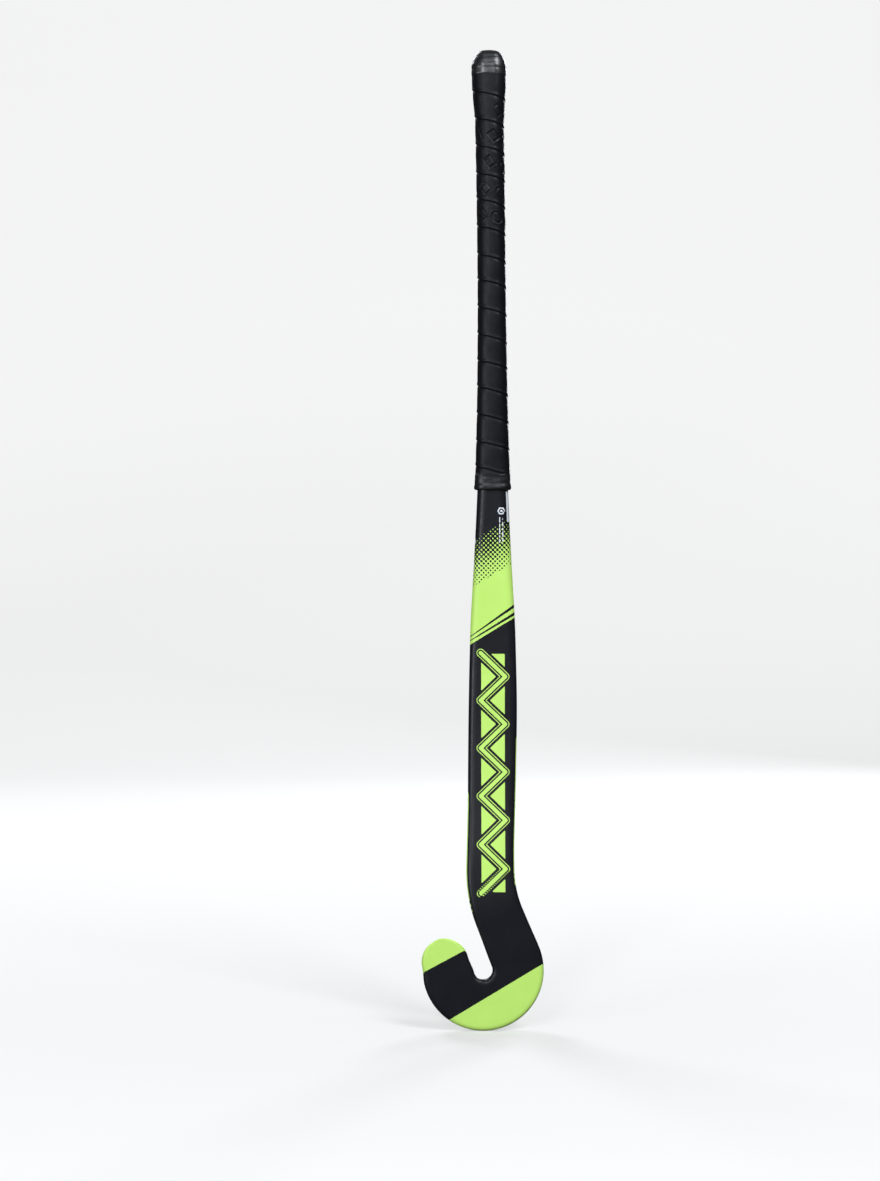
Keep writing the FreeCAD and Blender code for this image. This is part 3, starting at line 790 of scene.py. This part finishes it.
def back_label(v):
    """A thin upright line beside a column of broad dashes."""
    line = rectangle(v["x"], 10.8, 0.45, v["z"], 452, 26)
    text = dashes(v, 5.5, 467, (4, 3, 6, 3, 5, 3.5), 1.0, 1.6)
    return both(on_back(v), either(line, text))


SIDE_DEPTH = 2.5  # the toe side's marks are centred this far behind the widest line
DIAMOND_Z, SIDE_RING_Z = 437, 414


def toe_side_label(v):
    """A white diamond outline over a white ring, on the toe side."""
    over = v["deep"] - SIDE_DEPTH
    diamond = np.abs((np.abs(over) + np.abs(v["z"] - DIAMOND_Z) * 0.8 - 5.0) / 1.28) - 0.75
    ring = np.abs(np.hypot(over, v["z"] - SIDE_RING_Z) - 3.9) - 0.8
    return both(v["x"], either(diamond, ring))


# Lacquered stick ----
FLAT_CELLS, CORNER_CELLS, BACK_CELLS = 64, 8, 104
COAT_TOP = 492.0
FINE_TOP, FINE_BOTTOM, FINE_STEP = 470.0, 384.0, 0.55  # the fade needs the finest rows
SHAFT_ROWS = 400  # from there down to the bend of the neck
HEAD_STEP = 1.3


def stick_rows():
    fine = np.arange(FINE_TOP, FINE_BOTTOM, -FINE_STEP)
    return np.concatenate([
        level_rows(np.arange(COAT_TOP, FINE_TOP, -1.0)),
        level_rows(fine),
        level_rows(np.linspace(fine[-1] - 0.7, BEND_TOP_Z, SHAFT_ROWS)),
        head_rows(HEAD_STEP),
    ])


def build_stick():
    """The lacquered surface. lateral is how far round a point is from the face's or back's middle."""
    points, deep = section_grid(stick_rows(), 0.0, FLAT_CELLS, CORNER_CELLS, BACK_CELLS)
    rows, columns = points.shape[:2]
    ring_step = np.linalg.norm(np.roll(points, -1, axis=1) - points, axis=2)
    walked = np.concatenate([np.zeros((rows, 1)), np.cumsum(ring_step, axis=1)[:, :-1]], axis=1)
    total = ring_step.sum(axis=1, keepdims=True)
    from_face = np.where(walked > total / 2, walked - total, walked)
    lateral = np.where(deep <= 0, from_face, np.sign(from_face) * (total / 2 - np.abs(from_face)))
    grids = {
        "x": points[..., 0], "z": points[..., 2], "deep": deep, "lateral": lateral,
        "point": points, "normal": ring_normals(points),
    }
    values = {name: grid.reshape(-1, *grid.shape[2:]) for name, grid in grids.items()}
    round_toe_normals(values["point"], values["normal"], columns)
    return close_toe(Soup(values, grid_quads(rows, columns)), columns)


def round_toe_normals(points, normals, columns):
    """The stick ends in a short edge along Y at the toe: its normals fan out there."""
    ring = slice(len(points) - columns, None)
    depths = points[ring, 1]
    middle, reach = (depths.max() + depths.min()) / 2, (depths.max() - depths.min()) / 2
    normals[ring] = (sin(TOE_ANGLE), 0, -cos(TOE_ANGLE))
    normals[ring, 1] = (depths - middle) / reach
    normals[ring] = unit(normals[ring])


def close_toe(soup, columns):
    """Closes the last ring of the stick's grid with a fan round its middle."""
    middle = len(soup.values["x"])
    ring = np.arange(middle - columns, middle)
    for name, value in soup.values.items():
        soup.values[name] = np.concatenate([value, value[ring].mean(axis=0, keepdims=True)])
    soup.triangles = np.stack([ring, np.full(columns, middle), np.roll(ring, -1)], axis=1)
    return soup


# Piece, its field, material, slot and the CAD nodes it stands for. Each takes its area from what is left.
PRINTS = [
    ("face_label_print", face_label, WHITE_INK, "white_print", ["shaft_label"]),
    ("side_strip_print", side_strip, WHITE_INK, "white_print", []),
    ("back_label_print", back_label, WHITE_INK, "white_print", ["edge_line"]),
    ("toe_side_label_print", toe_side_label, WHITE_INK, "white_print", []),
    ("face_motif_print", face_motif, GREEN, "green_print", ["face_motif"]),
    ("back_motif_print", back_motif, BLACK, "dark_print", ["back_motif"]),
    ("head_emblem_print", emblem, GREEN, "green_print", ["head_emblem"]),
    ("heel_marks_print", heel_marks, DARK_GREEN, "dark_print", []),
    ("heel_print", heel_print, GREEN, "green_print", ["heel_film"]),
    ("toe_print", toe_print, GREEN, "green_print", ["toe_film"]),
    ("fade_print", fade_band, GREEN, "fade_print", ["face_fade_film", "back_fade_film"]),
    ("shaft_print", green_shaft, GREEN, "green_print",
     ["face_green_film", "back_green_film", "face_stripes", "back_stripes"]),
]


def lacquered_stick():
    """The prints one after the other, then the black lacquer on all that they leave."""
    soup = build_stick()
    for name, field, material, slot, nodes in PRINTS:
        quads, triangles = soup.cut(field)
        finish_piece(coat_object(name, soup, quads, triangles), material, slot, *nodes)
    rest = coat_object("black_lacquer_coat", soup, soup.quads, soup.triangles)
    finish_piece(rest, BLACK, "black_lacquer")


lacquered_stick()

WALL_CELLS = (12, 4, 24)
WALL_ROWS = 130
WALL_STEP = 4.0
NARROWEST_WALL = 1.5  # the hollow ends where its half width gets less than this


def laminate_wall():
    """The composite shell under the lacquer, open at the butt."""
    shaft = level_rows(np.linspace(LAMINATE_TOP, BEND_TOP_Z, WALL_ROWS))
    rows = np.concatenate([shaft, head_rows(WALL_STEP)])
    outer, _ = section_grid(rows, COAT + BOND, *WALL_CELLS)
    inner, _ = section_grid(rows[rows[:, 3] > SKIN + NARROWEST_WALL], SKIN, *WALL_CELLS)
    columns = outer.shape[1]
    points = np.concatenate([outer.reshape(-1, 3), inner.reshape(-1, 3)])
    start = len(outer) * columns
    faces = grid_quads(len(outer), columns).tolist() + grid_quads(len(inner), columns, start, True).tolist()
    faces.append(list(range(start - columns, start))[::-1])
    faces.append(list(range(len(points) - columns, len(points))))
    for c in range(columns):
        n = (c + 1) % columns
        faces.append([c, n, start + n, start + c])
    return make_object("laminate_wall", points, faces)


finish_piece(laminate_wall(), CARBON, "black_lacquer", "laminate_skin")


# Grip ----
FARTHEST = 60.0  # no point of a section is farther from its middle
HALVINGS = 34


def outline(heights, angles, lift):
    """Points of the level sections, pushed out by lift, at angles round each section's middle."""
    half = blend(HALF_WIDTH, heights) + lift
    corner = blend(FACE_CORNER, heights) + lift
    depth = blend(DEPTH, heights)
    widest = corner - lift
    crown = depth + lift - widest
    middle = depth / 2
    low, high = np.zeros_like(half), np.full_like(half, FARTHEST)
    c, s = np.cos(angles), np.sin(angles)
    for _ in range(HALVINGS):
        r = (low + high) / 2
        across, deep = np.abs(r * c), middle + r * s
        in_back = (across / half) ** 2 + ((deep - widest) / crown) ** 2 < 1
        in_front = (deep > -lift) & (np.hypot(np.maximum(across - half + corner, 0), deep - widest) < corner)
        inside = np.where(deep > widest, in_back, in_front)
        low, high = np.where(inside, r, low), np.where(inside, high, r)
    bow = blend(BOW, heights) - FACE_STOCK
    return np.stack([blend(SWAY, heights) + low * c, bow + middle + low * s, heights], axis=-1)


def tape_thickness(from_top, from_low):
    """Height of the wound tape over its underlay: each turn laps over the next with a rolled lower edge."""
    across = np.clip(from_top / (from_top + from_low), 0, 1)
    barrel = 0.16 * (1 - (2 * across - 1) ** 2)
    top_shoulder = -0.34 * np.exp(-(from_top / 1.6) ** 2)
    low_shoulder = 0.40 * np.exp(-((from_low - 1.6) / 1.5) ** 2) - 0.62 * np.exp(-(from_low / 0.6) ** 2)
    return TAPE - BOND + barrel + top_shoulder + low_shoulder


EMBOSS_CELL = 15.0  # length of tape that each mark takes
EMBOSS_MIDDLE = 12.6  # the marks are centred this far below the tape's upper edge
EMBOSS_DEPTH, EMBOSS_RIM = 0.5, 0.15
DIAMOND_REACH, RING_RADIUS, BAR_OFFSET, BAR_HALF = 5.6, 4.6, 2.2, 5.2
BAR_SLANT = 0.45


def emboss(along, from_top):
    """Generic pressed outlines: diamonds, rings and slanted bars in turn along the tape."""
    index = np.floor(along / EMBOSS_CELL)
    a = along - (index + 0.5) * EMBOSS_CELL
    b = from_top - EMBOSS_MIDDLE
    diamond = np.abs(np.abs(a) + np.abs(b) - DIAMOND_REACH) / sqrt(2)
    ring = np.abs(np.hypot(a, b) - RING_RADIUS)
    slanted = a - b * BAR_SLANT
    bars = np.minimum(np.abs(slanted + BAR_OFFSET), np.abs(slanted - BAR_OFFSET)) * 0.91
    bars = np.where(np.abs(b) < BAR_HALF, bars, 9.0)
    kind = np.mod(index, 3)
    distance = np.where(kind == 0, diamond, np.where(kind == 1, ring, bars))
    groove = -EMBOSS_DEPTH * (1 - ease(0.5, 1.05, distance))
    return groove + EMBOSS_RIM * np.exp(-((distance - 1.5) / 0.45) ** 2)


FACE_SEAM_Z = 857.7  # a seam crosses the middle of the flat face here
FACE_ANGLE = -pi / 2
FACE_PADDING = 0.8  # the tape rounds off the flat face by this much
EMBOSS_BOTTOM = 737.0
LAST_TURN = (FACE_SEAM_Z - GRIP_BOTTOM) / TAPE_PITCH
EMBOSSED_STEPS, PLAIN_STEPS = 190, 80  # sections of the strip in a turn
NARROWEST_STRIP = 0.4
STRIP_RIM = np.array([0, 0.012, 0.026, 0.042, 0.06, 0.082, 0.108, 0.14])  # columns near an edge, as shares
MEAN_RADIUS = 15.0  # turns this way into length along the tape


def seam_height(turns):
    """Height of a turn's upper edge, which wanders a little but starts and ends true."""
    wander = 0.55 * np.sin(turns * 1.9) + 0.35 * np.sin(turns * 3.7 + 1.0)
    wander = wander * ease(0, 1.5, turns) * ease(0, 1.0, LAST_TURN - turns)
    return FACE_SEAM_Z - TAPE_PITCH * turns + wander


def grip_wrap():
    """One strip wound down the handle. Rows go along the strip, columns round its section."""
    first_turn = -(GRIP_TOP - FACE_SEAM_Z) / TAPE_PITCH - 1
    emboss_turn = (FACE_SEAM_Z - EMBOSS_BOTTOM) / TAPE_PITCH
    turns = np.concatenate([
        np.arange(first_turn, emboss_turn, 1 / EMBOSSED_STEPS),
        np.arange(emboss_turn, LAST_TURN, 1 / PLAIN_STEPS),
    ])[:, None]
    top_edge, low_edge = seam_height(turns), seam_height(turns + 1)
    upper, lower = np.minimum(top_edge, GRIP_TOP), np.maximum(low_edge, GRIP_BOTTOM)
    keep = (upper - lower)[:, 0] > NARROWEST_STRIP
    turns, top_edge, low_edge, upper, lower = [a[keep] for a in (turns, top_edge, low_edge, upper, lower)]
    share = np.concatenate([STRIP_RIM, np.linspace(0.165, 0.835, 30), 1 - STRIP_RIM[::-1]])[None, :]
    heights = upper + (lower - upper) * share
    angles = FACE_ANGLE + 2 * pi * turns + 0 * share
    lift = tape_thickness(top_edge - heights, heights - low_edge)
    pattern = emboss(2 * pi * turns * MEAN_RADIUS + 0 * share, top_edge - heights)
    pattern = pattern * ease(0, 0.15, turns) * ease(0, 0.15, emboss_turn - turns)
    waves = 0.05 * np.sin(heights * 0.4 + 3 * np.sin(angles)) * np.sin(angles * 2 + heights * 0.11)
    padding = FACE_PADDING * np.clip(np.cos(angles - FACE_ANGLE), 0, 1) ** 5
    outer = outline(heights, angles, UNDERLAY + BOND + lift + pattern + waves + padding)
    under_z = upper + (lower - upper) * np.linspace(1, 0, 8)[None, :]
    under_angles = FACE_ANGLE + 2 * pi * turns + 0 * under_z
    under = outline(under_z, under_angles, np.full_like(under_z, UNDERLAY + 0.02))
    points = np.concatenate([outer, under], axis=1)
    rows, columns = points.shape[:2]
    faces = grid_quads(rows, columns, 0, True).tolist()
    faces += [face[::-1] for face in cap_faces(rows, columns)]
    return make_object("grip_wrap_tape", points.reshape(-1, 3), faces)


finish_piece(grip_wrap(), GRIP, "grip_tape", "grip_wrap")

MARK_X, MARK_Z = -0.5, 527.5
MARK_RADIUS = 8.0
MARK_HALF = 0.9  # half width of the ring's stroke
MARK_BARS = ((-3.4, 2.6), (0.0, 4.0), (3.4, 2.6))  # height over the middle and half length
MARK_LEAN = atan(0.5)
MARK_TURNS = 12  # whole turns above the one that carries the mark
MARK_RISE, MARK_DEPTH = 0.12, 0.25


def on_grip_back(x, z, lift):
    """Points on the back of the wound tape, raised by lift, over points of the X-Z plane."""
    corner, depth = blend(FACE_CORNER, z), blend(DEPTH, z)
    rise = UNDERLAY + TAPE
    half = blend(HALF_WIDTH, z) + rise
    share = (x - blend(SWAY, z)) / half
    deep = corner + (depth - corner + rise) * np.sqrt(1 - share ** 2)
    angles = np.arctan2(deep - depth / 2, share * half)
    turns = (angles - FACE_ANGLE) / (2 * pi) + MARK_TURNS
    tape = tape_thickness(seam_height(turns) - z, z - seam_height(turns + 1))
    return outline(z, angles, UNDERLAY + BOND + tape + lift)


def mark_strip(x, z, closed):
    """Points and faces of one thin stroke, from grids with rows along it and columns across it."""
    over, under = on_grip_back(x, z, MARK_RISE), on_grip_back(x, z, MARK_RISE - MARK_DEPTH)
    points = np.concatenate([over, under[:, ::-1]], axis=1)
    rows, columns = points.shape[:2]
    if closed:
        return points.reshape(-1, 3), looped_quads(rows, columns).tolist()
    return points.reshape(-1, 3), grid_quads(rows, columns).tolist() + cap_faces(rows, columns)


def grip_mark():
    """A ring round three slanted bars, printed on the back of the grip."""
    across = np.linspace(-MARK_HALF, MARK_HALF, 4)[None, :]
    turn = np.linspace(0, 2 * pi, 120, endpoint=False)[:, None]
    radius = MARK_RADIUS + across
    strips = [(MARK_X + radius * np.cos(turn), MARK_Z + radius * np.sin(turn), True)]
    for rise, reach in MARK_BARS:
        along = np.linspace(-reach, reach, 14)[:, None]
        x = MARK_X + along * cos(MARK_LEAN) + across * 0.9 * sin(MARK_LEAN)
        z = MARK_Z + rise + along * sin(MARK_LEAN) - across * 0.9 * cos(MARK_LEAN)
        strips.append((x, z, False))
    points, faces = [], []
    for x, z, closed in strips:
        corners, quads = mark_strip(x, z, closed)
        first = sum(len(p) for p in points)
        points.append(corners)
        faces += [[first + k for k in face] for face in quads]
    return make_object("grip_mark_print", np.concatenate(points), faces)


finish_piece(grip_mark(), GREY_INK, "grey_print", "grip_mark")


def turned(profile, columns, ripple=0.0, phase=0.0):
    """Points of a profile, a run of (height, lift), taken round the shaft."""
    angles = np.linspace(0, 2 * pi, columns, endpoint=False)[None, :]
    heights = np.array([height for height, _ in profile])[:, None] + 0 * angles
    lift = np.array([lift for _, lift in profile])[:, None] + 0 * angles
    wave = np.sin(angles * 3 + heights * 0.7 + phase) * np.sin(angles * 7 - heights * 0.4 + 2 * phase)
    outside = lift > 0.5
    moved = heights + ripple * 1.6 * np.sin(angles * 2 + phase) * outside
    return outline(moved, angles, lift + ripple * wave * outside)


def sleeve_object(name, points):
    """A sleeve whose profile closes on itself."""
    return make_object(name, points.reshape(-1, 3), looped_quads(*points.shape[:2]).tolist())


def arc_profile(z0, lift0, z1, lift1, bulge, steps):
    """Points from one corner to another that swell outwards between them."""
    ts = [k / steps for k in range(steps + 1)]
    return [(z0 + (z1 - z0) * t, lift0 + (lift1 - lift0) * t + bulge * sin(pi * t)) for t in ts]


def lower_tape():
    """The collar: two overlapping turns of tape over the end of the grip."""
    base = UNDERLAY + 0.06
    outside = [(COLLAR_TOP + 3.2, base + 1.2), (COLLAR_TOP + 3.1, base + 1.62)]
    outside += arc_profile(COLLAR_TOP + 2.6, base + 1.8, COLLAR_BOTTOM + 5.6, base + 1.75, 0.12, 8)
    outside += arc_profile(COLLAR_BOTTOM + 5.0, base + 1.95, COLLAR_BOTTOM + 0.9, base + 1.9, 0.25, 8)
    outside += [(COLLAR_BOTTOM + 0.15, base + 0.8), (COLLAR_BOTTOM, base + 0.2), (COLLAR_BOTTOM, base - 0.9)]
    inside = [(COLLAR_BOTTOM + 0.8, base - 0.95), (COLLAR_BOTTOM + 1.2, base), (COLLAR_TOP - 0.2, base)]
    return sleeve_object("lower_tape_collar", turned(outside + inside, 140, 0.12, 1.7))


def upper_tape():
    """Glossy tape round the butt: over the end of the grip below, drawn in to the cap's dome above."""
    base = SKIRT + 0.1
    outside = [(TAPE_TOP + 2.6, 0.1)]
    outside += arc_profile(TAPE_TOP + 2.3, 0.35, TAPE_TOP - 3.4, 2.35, 0.25, 8)
    outside += arc_profile(TAPE_TOP - 4.0, 2.65, TAPE_TOP - 7.6, 2.95, 0.12, 5)
    outside += arc_profile(TAPE_TOP - 8.2, 2.78, TAPE_BOTTOM - 0.9, 2.85, 0.1, 6)
    outside += [(TAPE_BOTTOM - 1.4, 2.4), (TAPE_BOTTOM - 1.4, base + 0.3)]
    inside = [(TAPE_BOTTOM + 4, base - 0.02), (TAPE_TOP - 3, base - 0.02)]
    return sleeve_object("upper_tape_band", turned(outside + inside, 160, 0.09, 0.4))


DOME_START = 891.5
DOME_HALF = 13.9
DOME_POWER = 2.35  # 2 would make the dome an ellipse; more makes it blunter


def cap_dome():
    """Rubber cap: a skirt under the tape and a blunt domed end."""
    base_half = HALF_WIDTH[-1][1]
    profile = [
        (GRIP_TOP + 1, SKIRT - 1.0), (GRIP_TOP + 1, SKIRT),
        (DOME_START - 2.0, SKIRT), (DOME_START - 0.6, 0.5),
    ]
    for turn in np.linspace(0, pi / 2, 20)[:-1]:
        height = DOME_START + (TOP_Z - DOME_START) * sin(turn) ** (2 / DOME_POWER)
        profile.append((height, DOME_HALF * cos(turn) ** (2 / DOME_POWER) - base_half))
    points = turned(profile, 120)
    rings, columns = points.shape[:2]
    faces = grid_quads(rings, columns, 0, True).tolist()
    return make_object("cap_dome", points.reshape(-1, 3), faces + cap_faces(rings, columns))


finish_piece(lower_tape(), SATIN, "gloss_tape", "lower_finishing_tape")
finish_piece(upper_tape(), GLOSS, "gloss_tape", "top_finishing_tape")
finish_piece(cap_dome(), RUBBER, "cap_rubber", "end_cap")


# Carried-over CAD nodes ----
def paint_node(node, material):
    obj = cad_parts[node]
    obj.data.materials.clear()
    obj.data.materials.append(material)
    for polygon in obj.data.polygons:
        polygon.material_index = 0


INNER_NODES = {
    "toe_side_core_tube": CARBON,
    "heel_side_core_tube": CARBON,
    "head_foam_core": CORE_FOAM,
    "face_strike_ply": CARBON,
    "heel_edge_ply": ARAMID,
    "butt_plug": PLASTIC,
    "cushion_underlay": SOFT_FOAM,
}
for node_name, node_material in INNER_NODES.items():
    paint_node(node_name, node_material)


# Floor, light and camera, in metres ----
SWEEP_HALF, SWEEP_FRONT, SWEEP_BACK, SWEEP_RADIUS, SWEEP_HEIGHT = 6.0, -6.0, 3.0, 2.0, 5.0
SWEEP_SEEN, SWEEP_UNSEEN = 0.38, 0.06  # its grey to the camera and to all other rays
GLOW_NEAR, GLOW_FAR, GLOW_REACH = 0.44, 0.78, 5.0  # its glow evens out the fall of the light
WORLD_SEEN, WORLD_SOFT, WORLD_GLOSSY = 0.84, 0.20, 0.05
LIGHT_COLOUR = (0.93, 0.965, 1.0)
MIDDLE_Z = 0.43  # the lights look at this height
LIGHTS = [  # name, azimuth, elevation, distance, width, height, power
    ("front_box", -14, 21, 3.0, 0.5, 1.7, 36),
    ("key", 34, 42, 3.0, 0.9, 1.4, 62),
    ("low_fill", -46, -4, 2.6, 0.8, 0.9, 30),
    ("back_box", 157, 20, 3.0, 0.6, 1.9, 48),
    ("back_key", -150, 42, 3.0, 0.9, 1.4, 46),
]
CAMERA_X = -0.0490
CAMERA_RISE = 0.4153  # above the floor
CAMERA_DISTANCE = 2.2
FRAME_HEIGHT = 1.1124
SENSOR = 36  # millimetres


def studio():
    """A pale sweep, floor and backdrop in one. It looks pale to the camera but throws little light."""
    run = [(SWEEP_FRONT, 0.0), (SWEEP_BACK, 0.0)]
    for t in np.linspace(0, pi / 2, 16)[1:]:
        run.append((SWEEP_BACK + SWEEP_RADIUS * sin(t), SWEEP_RADIUS * (1 - cos(t))))
    run.append((SWEEP_BACK + SWEEP_RADIUS, SWEEP_HEIGHT))
    points = [(side * SWEEP_HALF / MM, y / MM, z / MM + BOTTOM_Z) for y, z in run for side in (-1, 1)]
    faces = [[2 * k, 2 * k + 1, 2 * k + 3, 2 * k + 2] for k in range(len(run) - 1)]
    sweep = make_object("studio_sweep", points, faces)
    material, tree, shader = new_material("studio_white")
    adjust(shader, Roughness=0.9, Specular_IOR_Level=0.0, Emission_Color=(1, 1, 1, 1))
    seen = add(tree, "LightPath").outputs["Is Camera Ray"]
    tint(tree, shader, seen, ((SWEEP_UNSEEN,) * 3, (SWEEP_SEEN,) * 3))
    away = add(tree, "VectorMath")
    away.operation = "LENGTH"
    tree.links.new(add(tree, "NewGeometry").outputs["Position"], away.inputs[0])
    evening = ramp(tree, away.outputs["Value"], GLOW_NEAR, GLOW_FAR, 0.0, GLOW_REACH)
    tree.links.new(math_node(tree, "MULTIPLY", seen, evening), shader.inputs["Emission Strength"])
    sweep.data.materials.append(material)


def area_light(name, azimuth, elevation, distance, width, height, power):
    """A soft box that looks at the stick. Azimuth 0 is before the face, 90 on the heel side."""
    data = bpy.data.lights.new(name, "AREA")
    data.shape = "RECTANGLE"
    data.size = width
    data.size_y = height
    data.energy = power
    data.color = LIGHT_COLOUR
    lamp = new_object(name, data)
    around, up = radians(azimuth), radians(elevation)
    lamp.location = (
        distance * sin(around) * cos(up), -distance * cos(around) * cos(up),
        MIDDLE_Z + distance * sin(up),
    )
    lamp.rotation_euler = (pi / 2 - up, 0, around)


def world_light():
    """White all round: bright to the camera, faint to the rest so that the blacks stay deep."""
    world = bpy.data.worlds.new("studio")
    world.use_nodes = True
    tree = world.node_tree
    rays = add(tree, "LightPath")
    other = ramp(tree, rays.outputs["Is Glossy Ray"], WORLD_SOFT, WORLD_GLOSSY, 0.0, 1.0)
    seen = add(tree, "MapRange", To_Max=WORLD_SEEN)
    tree.links.new(rays.outputs["Is Camera Ray"], seen.inputs["Value"])
    tree.links.new(other, seen.inputs["To Min"])
    background = tree.nodes["Background"]
    adjust(background, Color=(1, 1, 1, 1))
    tree.links.new(seen.outputs["Result"], background.inputs["Strength"])
    bpy.context.scene.world = world


def camera():
    """Level camera before the playing face, a little to the toe side of the shaft."""
    data = bpy.data.cameras.new("camera")
    data.sensor_width = SENSOR
    data.lens = SENSOR * CAMERA_DISTANCE / FRAME_HEIGHT
    cam = new_object("camera", data)
    cam.location = (CAMERA_X, -CAMERA_DISTANCE, BOTTOM_Z * MM + CAMERA_RISE)
    cam.rotation_euler = (pi / 2, 0, 0)
    bpy.context.scene.camera = cam


studio()
for light in LIGHTS:
    area_light(*light)
world_light()
camera()
bpy.context.scene.view_settings.view_transform = "Standard"
